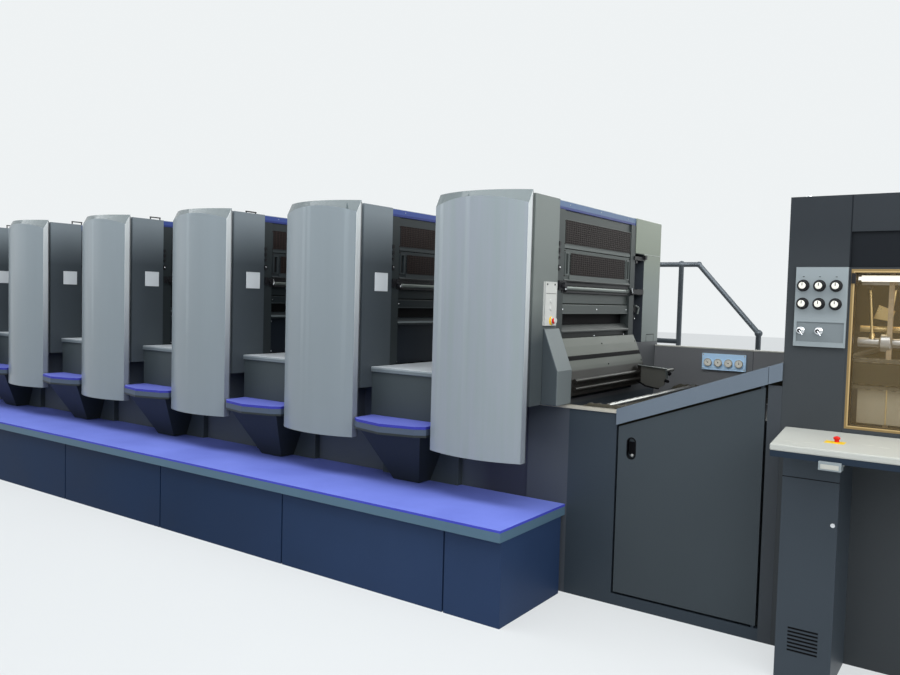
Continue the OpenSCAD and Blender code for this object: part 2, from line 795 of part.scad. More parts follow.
// Near wall of the delivery: low panel with its flange, sill, and the strip beside the tower
module delivery_near_wall() {
    y0 = near_wall_y;
    y1 = wall_in;
    low = low_wall_z - low_ledge_t - seat;
    color("#3a424b") place() {
        block([unit_len + seat, y0, 0], [band_x, y1, low]);
        block([unit_len - flange_len, y0, walk_z], [unit_len + 2 * eps, base_front - seat, low]);
        block([band_x - eps, y0, 0], [tower_x - seat, y1, sill_h]);
        block([door_x1 + door_gap, y0, 0], [tower_x - seat, y1, band_top_at(door_x1) - band_face]);
        across(y0, y1) polygon([[band_x - eps, band_top_at(band_x) - band_face - seat],
            [tower_x - seat, band_top_at(tower_x) - band_face - seat],
            [tower_x - seat, band_top_at(tower_x) - 10], [band_x - eps, band_top_at(band_x) - 10]]);
        translate([door_axis_x, door_axis_y, sill_h - eps]) cylinder(h = 36, r = door_pin_r);
        translate([door_axis_x, door_axis_y, door_top_at(door_axis_x) - 30]) cylinder(h = 60, r = door_pin_r);
    }
}

// Pale trim of the near wall: the sloped band in two lengths, and the ledge on the low part
module delivery_band() {
    band_y = near_wall_y - 10;
    joint = door_x1 + door_gap;
    color("#7f8b9a") place() {
        for (span = [[band_x, joint - 1], [joint + 1, tower_x - seat]]) across(band_y, near_wall_y - seat)
            polygon([for (x = span) [x, band_top_at(x) - band_face], for (x = [span[1], span[0]]) [x, band_top_at(x)]]);
        block([unit_len - flange_len, near_wall_y - 8, low_wall_z - low_ledge_t],
            [unit_len, base_front - seat, low_wall_z]);
        block([unit_len, near_wall_y - 8, low_wall_z - low_ledge_t], [band_x - 2 * eps, wall_in, low_wall_z]);
    }
}

// Side door with its grip recess, hung at the tower side
module side_door() {
    pull_mid = pull_x + pull_w / 2;
    pull_r = pull_w / 2;
    floor_y = near_wall_y + door_t - 6;
    color("#39414a") place() difference() {
        across(near_wall_y, near_wall_y + door_t)
            polygon([[door_x0, sill_h + door_gap], [door_x1, sill_h + door_gap],
                [door_x1, door_top_at(door_x1)], [door_x0, door_top_at(door_x0)]]);
        block([pull_x, near_wall_y - eps, pull_z + pull_r], [pull_x + pull_w, floor_y, pull_z + pull_h - pull_r]);
        for (z = [pull_z + pull_r, pull_z + pull_h - pull_r])
            cross_bar(pull_mid, z, near_wall_y - eps, floor_y, pull_r);
        translate([door_axis_x, door_axis_y, sill_h]) cylinder(h = 50, r = door_pin_r + 0.5);
        translate([door_axis_x, door_axis_y, door_top_at(door_axis_x) - 40]) cylinder(h = 80, r = door_pin_r + 0.5);
    }
}

module delivery_far_wall() {
    color("#3c3f44") place()
        block([unit_len + seat, far_wall_y, 0], [tower_x - seat, far_wall_y + wall_t, far_wall_z]);
}

// Closed lower part of the delivery, under the sheet path
module delivery_body() {
    x0 = unit_len + seat;
    x1 = tower_x - seat;
    rise = (tower_x - band_x) * slope * 0.7;
    color("#2e3338") place() across(wall_in + 90, far_wall_y - seat)
        polygon([[x0, 0], [x1, 0], [x1, body_z + rise], [band_x, body_z], [x0, body_z]]);
}

// Two guide rails that carry the gripper chains from the first unit up into the tower
module chain_rails() {
    inset = chain_half + 10;
    line = [chain_a + [inset, 0], chain_b, chain_c, chain_d - [inset, 0]];
    half = [0, rail_half];
    color("#55504a") place()
        for (y = [wall_in + seat, far_wall_y - rail_w - seat]) across(y, y + rail_w)
            polygon([for (p = line) p + half, for (i = [3 : -1 : 0]) line[i] - half]);
}

// The two gripper chains, each one closed loop of links
module gripper_chains() {
    outline = concat(chain_edge(1), [chain_edge(1)[0]]);
    hole = concat(chain_edge(-1), [chain_edge(-1)[0]]);
    color("#6a655c") place() for (y = [chain_y0, chain_y1]) across(y, y + chain_w) difference() {
        polygon(outline);
        polygon(hole);
    }
}

// Toothed sprockets on their shafts at the two ends of the chains
module chain_sprockets() {
    teeth = 16;
    rim = chain_half + 5;
    root = chain_half - 4;
    outline = [for (i = [0 : teeth - 1], s = [[0, root], [0.3, root], [0.45, rim], [0.8, rim]])
        let(a = (i + s[0]) * 360 / teeth) s[1] * [cos(a), sin(a)]];
    color("#4c4a46") place() for (c = [chain_a, chain_d]) {
        cross_bar(c[0], c[1], wall_in + seat, far_wall_y - seat, 22);
        for (y = [chain_y0 + chain_w + seat, chain_y1 - sprocket_t - seat])
            across(y, y + sprocket_t) translate(c) polygon(outline);
    }
}

// Gripper bars between the chains, each with its row of grippers
module gripper_bars() {
    y0 = chain_y0 + chain_w + seat;
    y1 = chain_y1 - seat;
    first = 2;
    last = len(chain_pins) - 1;
    clear = chain_half + 60;
    color("#8e8676") place() for (i = [first : bar_step : last]) {
        p = chain_pins[i];
        d = chain_pins[i + 1] - p;
        if (p[0] - chain_a[0] > clear - 30 && chain_d[0] - p[0] > clear)
            translate([p[0], 0, p[1]]) rotate([0, -atan2(d[1], d[0]), 0]) gripper_bar(y0, y1);
    }
}

// One gripper bar along its own axes: a shaft, the bar of pads behind it, and the grippers
module gripper_bar(y0, y1) {
    pad_x = -2.5 * gripper_r;
    pad_h = 0.75 * gripper_r;
    edge = gripper_edge;
    half = gripper_w / 2;
    grippers = 14;
    step = (y1 - y0 - 2 * edge) / (grippers - 1);
    cross_bar(0, 0, y0, y1, gripper_r);
    cross_bar(pad_x, 0, y0 + edge - 1.5 * half, y1 - edge + 1.5 * half, 0.57 * gripper_r);
    for (i = [0 : grippers - 1])
        block([pad_x, y0 + edge + i * step - half, -pad_h], [0, y0 + edge + i * step + half, pad_h]);
}

// Gauge panel on the far wall's inner face
module gauge_panel() {
    gauge_x = band_x - 35;
    gauge_w = 288;
    panel_y = far_wall_y - 18;
    foot = far_wall_z - 144;
    color("#93b4d8") place() {
        block([gauge_x, panel_y, foot], [gauge_x + gauge_w, far_wall_y - seat, foot + 109]);
        for (i = [0 : 3]) knob_front(gauge_x + 42 + i * 68, panel_y + eps, foot + 50, 27, 12);
    }
}

// Near side of the tower: column, header, set-back panel, lower panel, end column,
// and the tube lamp with its two brackets behind the window's head
module tower_near_side() {
    y0 = near_wall_y;
    y1 = wall_in;
    lamp_y = y1 + 16;
    lamp_z = window_head - 48;
    color("#3f4347") place() {
        block([tower_x, y0, 0], [window_x0, y1, tower_top]);
        block([window_x1, y0, 0], [tower_end, y1, tower_top]);
        block([window_x0 - eps, y0, header_z], [window_x1 + eps, y1, tower_top]);
        block([window_x0 - eps, y0 + 12, window_head], [window_x1 + eps, y1, header_z + eps]);
        block([window_x0 - eps, y0, 0], [window_x1 + eps, y1, window_foot]);
        for (x = [window_x0 + 20, window_x1 - 44])
            block([x, y1 - eps, lamp_z - 18], [x + 24, lamp_y + 14, window_head + 60]);
        translate([window_x0 + 24, lamp_y, lamp_z]) rotate([0, 90, 0])
            cylinder(h = window_x1 - window_x0 - 48, r = 13);
    }
}

// Far side, roof, and the end walls with the gaps for the chains and the pile
module tower_shell() {
    y0 = wall_in + seat;
    y1 = far_wall_y + eps;
    t = tower_wall_t;
    roof = tower_top - t;
    color("#43474b") place() {
        block([tower_x, far_wall_y, 0], [tower_end, far_wall_y + wall_t, tower_top]);
        block([tower_x, y0, roof], [tower_end, y1, tower_top]);
        block([tower_x, y0, band_end_z + 96], [tower_x + t, y1, roof + eps]);
        block([tower_x, y0, 0], [tower_x + t, y1, body_z + 40]);
        block([tower_end - t, y0, chain_d[1] + 110], [tower_end, y1, roof + eps]);
    }
}

// Frame of the tower window
module window_frame() {
    w = window_frame_w;
    color("#7a5f3c") place() difference() {
        block([window_x0 + seat, near_wall_y + 3, window_foot + seat],
            [window_x1 - seat, near_wall_y + 30, window_head - seat]);
        block([window_x0 + w, near_wall_y - eps, window_foot + w], [window_x1 - w, near_wall_y + 40, window_head - w]);
    }
}

// Tinted pane of the tower window
module tower_window() {
    w = window_frame_w + seat;
    color("#8a6a3a") place()
        block([window_x0 + w, near_wall_y + 12, window_foot + w], [window_x1 - w, near_wall_y + 20, window_head - w]);
}

// Air control panel with six knobs, and two valves in a shallow field below them
module air_controls() {
    foot = window_head - air_panel_h;
    face = near_wall_y - air_t;
    knob_step = 69;
    color("#8f9aa5") place() {
        difference() {
            block([air_x0, face, foot], [air_x1, near_wall_y - seat, window_head]);
            block([air_x0 + 12, face - eps, foot + 22], [air_x1 - 8, face + 4, foot + 112]);
        }
        for (i = [0 : 2], z = [foot + 195, foot + 277])
            knob_front(air_x0 + 33 + i * knob_step, face + eps, z, air_knob_r, 26);
        for (x = [air_x0 + 30, air_x0 + 107]) knob_front(x, face + 4 + eps, foot + 72, 9, 26);
    }
}

// Board for the printed pile, hung on four hoist chains
module pile_board() {
    x0 = window_x0 + 60;
    x1 = window_x1 - 40;
    y0 = wall_in + 60;
    y1 = far_wall_y - 60;
    color("#7a6a50") place() {
        block([x0, y0, 120], [x1, y1, 175]);
        for (x = [x0 + 90, x1 - 130], y = [y0 - 12, y1 - 8])
            block([x, y, 110], [x + 20, y + 20, tower_top - tower_wall_t - seat]);
    }
}

// Console table, its left end a little out of square, with the box under its edge
module console_table() {
    x0 = tower_x + 20;
    skew = 60;
    front = near_wall_y - table_d;
    color("#e4e7e2") place() {
        translate([0, 0, table_z - table_t]) linear_extrude(table_t)
            polygon([[x0 + skew, front], [x0 + table_len, front], [x0 + table_len, near_wall_y - seat],
                [x0, near_wall_y - seat]]);
        block([x0 + 4 * skew, front + skew, table_z - 2.5 * table_t],
            [x0 + 4 * skew + edge_box_len, front + skew + edge_box_d, table_z - table_t + eps]);
    }
}

module console_cabinet() {
    x0 = tower_x + 90;
    color("#3b434b") place()
        block([x0, near_wall_y - table_d + cabinet_back, 0],
            [x0 + cabinet_len, near_wall_y - seat, table_z - table_t - seat]);
}

// Gallery on the drive side with its steps
module gallery() {
    x0 = row_start;
    x1 = unit_len;
    tread = 190;
    deck = 50;
    leg = 60;
    side_t = 30;
    side_y = [max(drive_back, far_wall_y + wall_t) + side_t, rail_y - rail_r - seat - side_t];
    rise = gallery_z / 4;
    color("#5a6066") place() {
        block([x0, drive_back + seat, gallery_z - deck], [x1, gallery_back, gallery_z]);
        for (i = [0 : unit_count]) {
            x = min(x0 + i * unit_pitch, x1 - leg);
            for (y = [drive_back + seat, gallery_back - leg])
                block([x, y, 0], [x + leg, y + leg, gallery_z - deck + eps]);
        }
        for (i = [1 : 3])
            block([x1 + (i - 1) * tread, side_y[0] + side_t - eps, gallery_z - i * rise - 40],
                [x1 + i * tread, side_y[1] + eps, gallery_z - i * rise]);
        for (y = side_y) across(y, y + side_t) polygon([[x1 - eps, gallery_z - deck - rise], [x1 - eps, gallery_z],
            [x1 + 40, gallery_z], [x1 + 4 * tread, 0], [x1 + 4 * tread - 180, 0]]);
    }
}

// Handrail along the gallery's outer edge and down the steps
module handrail() {
    x0 = row_start + 40;
    x1 = unit_len - 40;
    knee_x = unit_len + 94;
    end_x = unit_len + 549;
    end_z = rail_z - rail_fall;
    mid_z = rail_z - rail_mid;
    color("#a3a8ad") place() {
        for (i = [0 : unit_count - 1]) rail_post(x0 + i * unit_pitch, gallery_z, rail_z);
        rail_post(x1, gallery_z, rail_z);
        rail_post(end_x, 0, end_z);
        rail_tube([x0, rail_y, rail_z], [knee_x, rail_y, rail_z]);
        rail_tube([x0, rail_y, mid_z], [x1, rail_y, mid_z]);
        rail_tube([knee_x, rail_y, rail_z], [end_x, rail_y, end_z]);
        translate([knee_x, rail_y, rail_z]) sphere(r = rail_r + 4);
    }
}

// A post of the rail, with a clamp head round the tube at its top
module rail_post(x, z0, z1) {
    foot = z0 > 0 ? z0 + seat : 0;
    translate([x, rail_y, foot]) cylinder(h = z1 - foot, r = rail_r);
    translate([x, rail_y, z1]) sphere(r = rail_r + 9);
}

// A round tube between two points in the rail's plane
module rail_tube(a, b) {
    d = b - a;
    translate(a) rotate([0, 90 - atan2(d[2], d[0]), 0]) cylinder(h = norm(d), r = rail_r);
}

// Closed infeed housing beside the last unit
module infeed_housing() {
    x0 = row_start - infeed_len;
    x1 = row_start - seat;
    bevel = 160;
    color("#3f464c") place() across(base_front, drive_back)
        polygon([[x0, 0], [x1, 0], [x1, infeed_top], [x0 + bevel, infeed_top], [x0, infeed_top - 1.5 * bevel]]);
}

// Sloped board that carries the sheets to the infeed, with its two side rails
module feed_board() {
    x1 = row_start - infeed_len - seat;
    x0 = row_start - infeed_len - board_len;
    side_t = 40;
    lip = 20;
    web = 3 * board_t;
    color("#b9bcb8") place() {
        across(inner_front + 20, inner_back - 20)
            polygon([[x0, board_high], [x1, board_low], [x1, board_low - board_t], [x0, board_high - board_t]]);
        for (y = [inner_front - 20, inner_back - 20]) across(y + seat, y + side_t - seat)
            polygon([[x0, board_high + lip], [x1, board_low + lip], [x1, board_low - web], [x0, board_high - web]]);
    }
}

// Side frames and cross beams of the feeder
module feeder_frame() {
    x0 = feeder_x;
    x1 = feeder_x + feeder_len;
    beam = 100;
    color("#59636b") place() {
        for (y = [inner_front - 20 - frame_t, inner_back + 20]) difference() {
            block([x0, y, 0], [x1, y + frame_t, feeder_top]);
            block([x0 + 4 * frame_t, y - eps, 260], [x1 - 220, y + frame_t + eps, feeder_top - 260]);
        }
        for (x = [x0 + 60, x1 - 60 - beam])
            block([x, inner_front - 20 - eps, feeder_top - beam - 20], [x + beam, inner_back + 20 + eps, feeder_top - 20]);
    }
}

// Suction head over the rear edge of the sheets, hung from the cross beam
module feeder_head() {
    x0 = feeder_x + feeder_len - 560;
    foot = feeder_top - 260;
    top = feeder_top - 150;
    color("#8c9396") place() {
        block([x0, inner_front + 260, foot], [x0 + 500, inner_back - 260, top]);
        for (y = [inner_front + 320, inner_back - 320]) translate([x0 + 450, y, top - eps])
            cylinder(h = 30 + eps - seat, r = 22);
        for (y = [inner_front + 320 : 160 : inner_back - 320]) translate([x0 + 60, y, foot - 120])
            cylinder(h = 130, r = 16);
    }
}

// Board for the pile of blank sheets
module feeder_pile_board() {
    color("#7a6a50") place()
        block([feeder_x + 60, inner_front - 20 + seat, feeder_board_z - 60],
            [feeder_x + feeder_len - 120, inner_back + 20 - seat, feeder_board_z]);
}

unit_bases();
operator_housings();
drive_housings();
unit_cores();
unit_tops();
duct_bands();
guard_posts();
upper_grilles();
lower_panels();
chrome_bars();
recess_levers();
cover(1);  // cover_1
cover(2);  // cover_2
cover(3);  // cover_3
cover(4);  // cover_4
cover(5);  // cover_5
cover(6);  // cover_6
guard(1);  // guard_1
guard(2);  // guard_2
guard(3);  // guard_3
guard(4);  // guard_4
guard(5);  // guard_5
guard(6);  // guard_6
gap_blocks();
platforms();
step_brackets();
step_mats();
walkway_deck();
walkway_mat();
walkway_panels();
control_strip();
cheek_block();
sheet_guard();
delivery_near_wall();
delivery_band();
side_door();
delivery_far_wall();
delivery_body();
chain_rails();
gripper_chains();
chain_sprockets();
gripper_bars();
gauge_panel();
tower_near_side();
tower_shell();
window_frame();
tower_window();
air_controls();
pile_board();
console_table();
console_cabinet();
gallery();
handrail();
infeed_housing();
feed_board();
feeder_frame();
feeder_head();
feeder_pile_board();
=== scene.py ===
"""Looks of the offset printing press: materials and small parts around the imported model."""
import math

import bpy
from mathutils import Matrix, Vector


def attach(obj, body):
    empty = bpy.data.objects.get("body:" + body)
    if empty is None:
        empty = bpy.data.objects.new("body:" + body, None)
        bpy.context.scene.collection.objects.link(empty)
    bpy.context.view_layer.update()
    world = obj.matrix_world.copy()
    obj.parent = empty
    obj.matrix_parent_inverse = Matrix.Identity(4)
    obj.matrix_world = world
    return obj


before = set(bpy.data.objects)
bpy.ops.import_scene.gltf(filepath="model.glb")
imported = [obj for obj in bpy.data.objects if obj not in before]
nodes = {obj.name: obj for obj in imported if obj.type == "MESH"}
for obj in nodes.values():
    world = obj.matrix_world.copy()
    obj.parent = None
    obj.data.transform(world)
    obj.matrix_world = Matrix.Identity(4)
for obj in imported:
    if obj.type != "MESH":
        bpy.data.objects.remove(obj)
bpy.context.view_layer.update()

# Press lines in millimetres, measured from the left edge of the first unit's cover
MID_X, MID_Y = -2472.5, 1062.0
UNITS, PITCH = 6, 1175
CORE_FACE, GUARD_FACE, HOUSING_END = 536, 588, 595
INNER_BACK, DRIVE_BACK = 1429, 1879
FAR_Y, BAND_X = 1830, 975
TOWER_BACK, TOWER_ROOF = 1870, 2107
WINDOW_X0, WINDOW_X1 = 2050, 3460
WINDOW_FOOT, WINDOW_HEAD = 1057, 1786
ROW_START, FEEDER_X = -5875, -8645
BOARD_HIGH, BOARD_LOW = 1240, 1080
GUARD_FOOT, GUARD_TOP = 1704, 1894
GUARD_FRONT, GUARD_BACK = 416, 1347

# The plain tone behind the part, and how much of it the floor shows
BACKDROP = (0.86, 0.89, 0.90, 1)
FLOOR_SHARE = 0.62


def spot(x, y, z):
    """A point in press millimetres as metres in the part's frame."""
    return Vector(((x - MID_X) / 1000, (y - MID_Y) / 1000, z / 1000))


def ramp(what, start, full):
    """Where a zone of colour starts and is full: a place along X, Y or Z in press millimetres, or the
    share of a face's direction along an axis, named nX, nY or nZ."""
    if what[0] == "n":
        return what, start, full
    shift = {"X": MID_X, "Y": MID_Y, "Z": 0}[what]
    return what, (start - shift) / 1000, (full - shift) / 1000


FIRST_UNIT = ramp("X", -300, -299)
OTHER_UNITS = ramp("X", -299, -300)


class Shape:
    """Collects the faces of one piece, in press millimetres."""

    def __init__(self):
        self.points = []
        self.faces = []
        self.tags = []

    def add(self, points, faces, tag=0):
        start = len(self.points)
        self.points += points
        self.faces += [[start + i for i in face] for face in faces]
        self.tags += [tag] * len(faces)
        return self

    def box(self, low, high, tag=0):
        (a, b, c), (d, e, f) = low, high
        points = [(a, b, c), (d, b, c), (d, e, c), (a, e, c), (a, b, f), (d, b, f), (d, e, f), (a, e, f)]
        faces = [(0, 3, 2, 1), (4, 5, 6, 7), (0, 1, 5, 4), (1, 2, 6, 5), (2, 3, 7, 6), (3, 0, 4, 7)]
        return self.add(points, faces, tag)

    def prism(self, outline, axis, low, high, tag=0):
        """An outline across one axis. Its pairs are in the two other axes, in their usual order."""
        def put(pair, level):
            values = list(pair)
            values.insert(axis, level)
            return tuple(values)
        n = len(outline)
        points = [put(p, low) for p in outline] + [put(p, high) for p in outline]
        faces = [tuple(range(n)), tuple(range(2 * n - 1, n - 1, -1))]
        faces += [(i, i + n, (i + 1) % n + n, (i + 1) % n) for i in range(n)]
        return self.add(points, faces, tag)

    def tube(self, a, b, r, sides=16, r2=None, tag=0):
        """A round bar between two points, or a cone with another radius at its end."""
        a, b = Vector(a), Vector(b)
        along = (b - a).normalized()
        side = along.orthogonal().normalized()
        other = along.cross(side)
        r2 = r if r2 is None else r2
        points = []
        for centre, radius in ((a, r), (b, r2)):
            for i in range(sides):
                t = 2 * math.pi * i / sides
                points.append(tuple(centre + radius * (math.cos(t) * side + math.sin(t) * other)))
        faces = [(i, (i + 1) % sides, (i + 1) % sides + sides, i + sides) for i in range(sides)]
        faces += [tuple(range(sides - 1, -1, -1)), tuple(range(sides, 2 * sides))]
        return self.add(points, faces, tag)

    def turned(self, base, along, profile, sides=24, tag=0):
        """A turned form: radii and distances along an axis, closed at its outer end."""
        base, along = Vector(base), Vector(along).normalized()
        side = along.orthogonal().normalized()
        other = along.cross(side)
        points = []
        for radius, distance in profile:
            for i in range(sides):
                t = 2 * math.pi * i / sides
                outward = math.cos(t) * side + math.sin(t) * other
                points.append(tuple(base + along * distance + radius * outward))
        faces = []
        for level in range(len(profile) - 1):
            low, high = level * sides, (level + 1) * sides
            for i in range(sides):
                j = (i + 1) % sides
                faces.append((low + i, low + j, high + j, high + i))
        last = (len(profile) - 1) * sides
        faces.append(tuple(range(last, last + sides)))
        faces.append(tuple(range(sides - 1, -1, -1)))
        return self.add(points, faces, tag)

    def screw(self, centre, along, r=5, rise=3):
        """A small dome-headed screw with a hexagon socket's rim."""
        return self.turned(centre, along, [(r, -1), (r, rise * 0.5), (r * 0.8, rise), (r * 0.4, rise),
                                           (r * 0.35, rise * 0.4)], 10)

    def lock(self, centre, along, r=16, socket=11):
        """A round quarter-turn lock in the piece's second material."""
        return self.turned(centre, along, [(r, -1), (r, 4), (socket, 5), (socket, 3)], 20, 1)

    def louvres(self, x0, x1, y0, y1, z, high, step, count):
        """A row of level slots, one above the other."""
        for i in range(count):
            self.box((x0, y0, z + step * i), (x1, y1, z + high + step * i))

    def done(self, name, material, body="press", bevel=0.0, smooth=30):
        mesh = bpy.data.meshes.new(name)
        mesh.from_pydata([spot(*p) for p in self.points], [], self.faces)
        mesh.validate()
        piece = bpy.data.objects.new(name, mesh)
        bpy.context.scene.collection.objects.link(piece)
        for m in material if isinstance(material, (list, tuple)) else [material]:
            mesh.materials.append(m)
        if len(mesh.polygons) == len(self.tags):
            for polygon, tag in zip(mesh.polygons, self.tags):
                polygon.material_index = tag
        finish_edges(piece, bevel, smooth)
        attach(piece, body)
        return piece


def finish_edges(piece, bevel, smooth=30):
    """Rounds a piece's edges by the given millimetres and shades it smooth between flat faces."""
    if bevel:
        rounding = piece.modifiers.new("rounding", "BEVEL")
        rounding.width = bevel / 1000
        rounding.segments = 2
        rounding.limit_method = "ANGLE"
        rounding.angle_limit = math.radians(35)
    mesh = piece.data
    mesh.shade_smooth()
    mesh.set_sharp_from_angle(angle=math.radians(smooth))


# Materials


def new_material(name):
    material = bpy.data.materials.new(name)
    material.use_nodes = True
    return material, material.node_tree.nodes, material.node_tree.links


def remap(made, links, value, side, low, high):
    """Maps a value out of, or into, the range from low to high."""
    node = made.new("ShaderNodeMapRange")
    node.inputs[side + " Min"].default_value = low
    node.inputs[side + " Max"].default_value = high
    links.new(value, node.inputs["Value"])
    return node.outputs["Result"]


def blended(made, links, factor, first, second):
    """A mix of two tones by a factor."""
    node = made.new("ShaderNodeMix")
    node.data_type = "RGBA"
    for socket, tone in (("A", first), ("B", second)):
        if isinstance(tone, bpy.types.NodeSocket):
            links.new(tone, node.inputs[socket])
        else:
            node.inputs[socket].default_value = (*tone, 1)
    links.new(factor, node.inputs["Factor"])
    return node.outputs["Result"]


def noise(made, links, vector, scale, detail=2):
    """Fine or broad noise, over a vector if one is given."""
    node = made.new("ShaderNodeTexNoise")
    node.inputs["Scale"].default_value = scale
    node.inputs["Detail"].default_value = detail
    if vector:
        links.new(vector, node.inputs["Vector"])
    return node.outputs["Fac"]


def bumped(made, links, height, strength, distance):
    """Gives the material's shader a bump by a height."""
    node = made.new("ShaderNodeBump")
    node.inputs["Strength"].default_value = strength
    node.inputs["Distance"].default_value = distance
    links.new(height, node.inputs["Height"])
    links.new(node.outputs["Normal"], made["Principled BSDF"].inputs["Normal"])
    return node


def zone_factor(made, links, place, ramps):
    """How far a zone's colour covers a point: the product of its ramps."""
    facing = made.new("ShaderNodeNewGeometry")
    factor = None
    for what, start, full in ramps:
        split = made.new("ShaderNodeSeparateXYZ")
        source = facing.outputs["True Normal"] if what[0] == "n" else place.outputs["Object"]
        links.new(source, split.inputs[0])
        rise = remap(made, links, split.outputs[what[-1]], "From", start, full)
        if factor is None:
            factor = rise
            continue
        both = made.new("ShaderNodeMath")
        both.operation = "MULTIPLY"
        links.new(factor, both.inputs[0])
        links.new(rise, both.inputs[1])
        factor = both.outputs[0]
    return factor


def paint(name, colour, rough=0.45, metal=0.0, vary=0.10, grain=220.0, bump=0.05, stretch=(1, 1, 1),
          coat=0.0, patch=1.3, zones=(), spec=0.2, tint=None, coat_rough=0.25):
    """Painted or bare metal: soft patches of tone, fine grain in its bump, and uneven gloss.
    A zone gives another colour where its ramps are up. A tint shows in streaks or patches."""
    material, made, links = new_material(name)
    shader = made["Principled BSDF"]
    shader.inputs["Metallic"].default_value = metal
    shader.inputs["Coat Weight"].default_value = coat
    shader.inputs["Coat Roughness"].default_value = coat_rough
    shader.inputs["Specular IOR Level"].default_value = spec
    place = made.new("ShaderNodeTexCoord")
    scale = made.new("ShaderNodeMapping")
    scale.inputs["Scale"].default_value = stretch
    links.new(place.outputs["Object"], scale.inputs["Vector"])
    vector = scale.outputs["Vector"]
    broad = noise(made, links, vector, patch, 6)
    last = colour
    if tint:
        streaks = remap(made, links, noise(made, links, vector, patch * 2.3, 3), "From", 0.35, 0.65)
        last = blended(made, links, streaks, last, tint)
    for second, ramps in zones:
        last = blended(made, links, zone_factor(made, links, place, ramps), last, second)
    tone = made.new("ShaderNodeMix")
    tone.data_type = "RGBA"
    tone.blend_type = "MULTIPLY"
    tone.inputs["Factor"].default_value = 1
    if last is colour:
        tone.inputs["A"].default_value = (*colour, 1)
    else:
        links.new(last, tone.inputs["A"])
    links.new(remap(made, links, broad, "To", 1 - vary, 1 + vary), tone.inputs["B"])
    links.new(tone.outputs["Result"], shader.inputs["Base Color"])
    gloss = remap(made, links, broad, "To", max(0.05, rough - 0.08), rough + 0.10)
    links.new(gloss, shader.inputs["Roughness"])
    bumped(made, links, noise(made, links, vector, grain, 3), bump, 0.002)
    return material


def ribbed_mat(name, colour, pitch):
    """Rubber mat with studs, dusty in patches, and darker on its upright sides as painted shade."""
    material, made, links = new_material(name)
    shader = made["Principled BSDF"]
    shader.inputs["Roughness"].default_value = 0.75
    place = made.new("ShaderNodeTexCoord")
    studs = made.new("ShaderNodeTexVoronoi")
    studs.inputs["Scale"].default_value = 1 / pitch
    studs.inputs["Randomness"].default_value = 0.0
    links.new(place.outputs["Object"], studs.inputs["Vector"])
    dusty = [min(1, c * k) for c, k in zip(colour, (1.5, 1.45, 1.12))]
    # The colour of the upright sides: painted shade.
    edge = [c * k for c, k in zip(colour, (0.23, 0.22, 0.58))]
    broad = noise(made, links, place.outputs["Object"], 2.2, 8)
    top = blended(made, links, broad, [c * 0.70 for c in colour], dusty)
    upright = zone_factor(made, links, place, [ramp("nZ", 0.5, 0.4)])
    links.new(blended(made, links, upright, top, edge), shader.inputs["Base Color"])
    bumped(made, links, studs.outputs["Distance"], 0.35, 0.003).invert = True
    return material


def planks(name, colour):
    """Worn planks of a pile board."""
    material, made, links = new_material(name)
    shader = made["Principled BSDF"]
    shader.inputs["Roughness"].default_value = 0.7
    place = made.new("ShaderNodeTexCoord")
    wave = made.new("ShaderNodeTexWave")
    wave.bands_direction = "Y"
    wave.inputs["Scale"].default_value = 2.2
    wave.inputs["Distortion"].default_value = 0.4
    links.new(place.outputs["Object"], wave.inputs["Vector"])
    stretch = made.new("ShaderNodeMapping")
    stretch.inputs["Scale"].default_value = (0.15, 1, 1)
    links.new(place.outputs["Object"], stretch.inputs["Vector"])
    grain = noise(made, links, stretch.outputs["Vector"], 60)
    tone = blended(made, links, grain, [c * 0.6 for c in colour], [min(1, c * 1.2) for c in colour])
    links.new(tone, shader.inputs["Base Color"])
    bumped(made, links, wave.outputs["Fac"], 0.3, 0.002)
    return material


def checker_plate(name, colour):
    """Tread plate with raised diamonds in a lattice turned by 45 degrees."""
    material = paint(name, colour, 0.5, 0.3, 0.15, 150, 0.05, patch=3)
    made, links = material.node_tree.nodes, material.node_tree.links
    place = made.new("ShaderNodeTexCoord")
    turn = made.new("ShaderNodeMapping")
    turn.inputs["Rotation"].default_value = (0, 0, math.radians(45))
    turn.inputs["Scale"].default_value = (1, 2, 1)
    links.new(place.outputs["Object"], turn.inputs["Vector"])
    diamonds = made.new("ShaderNodeTexVoronoi")
    diamonds.inputs["Scale"].default_value = 22
    diamonds.inputs["Randomness"].default_value = 0.0
    links.new(turn.outputs["Vector"], diamonds.inputs["Vector"])
    raised = remap(made, links, diamonds.outputs["Distance"], "From", 0.34, 0.26)
    grain = made["Bump"].outputs["Normal"]
    links.new(grain, bumped(made, links, raised, 0.5, 0.002).inputs["Normal"])
    return material


def tinted_glass(name, colour):
    """Tinted pane, mostly clear, with the room's gloss on it."""
    material, made, links = new_material(name)
    shader = made["Principled BSDF"]
    shader.inputs["Roughness"].default_value = 0.08
    shader.inputs["Alpha"].default_value = 0.13
    broad = noise(made, links, None, 3.0)
    tone = blended(made, links, broad, [c * 0.9 for c in colour], [min(1, c * 1.1) for c in colour])
    links.new(tone, shader.inputs["Base Color"])
    return material


def lamp_white(name, level):
    """White tube of a lamp, a little brighter than paint."""
    material = paint(name, (0.9, 0.92, 0.9), 0.3, vary=0.02)
    shader = material.node_tree.nodes["Principled BSDF"]
    shader.inputs["Emission Color"].default_value = (1.0, 0.97, 0.88, 1)
    shader.inputs["Emission Strength"].default_value = level
    return material
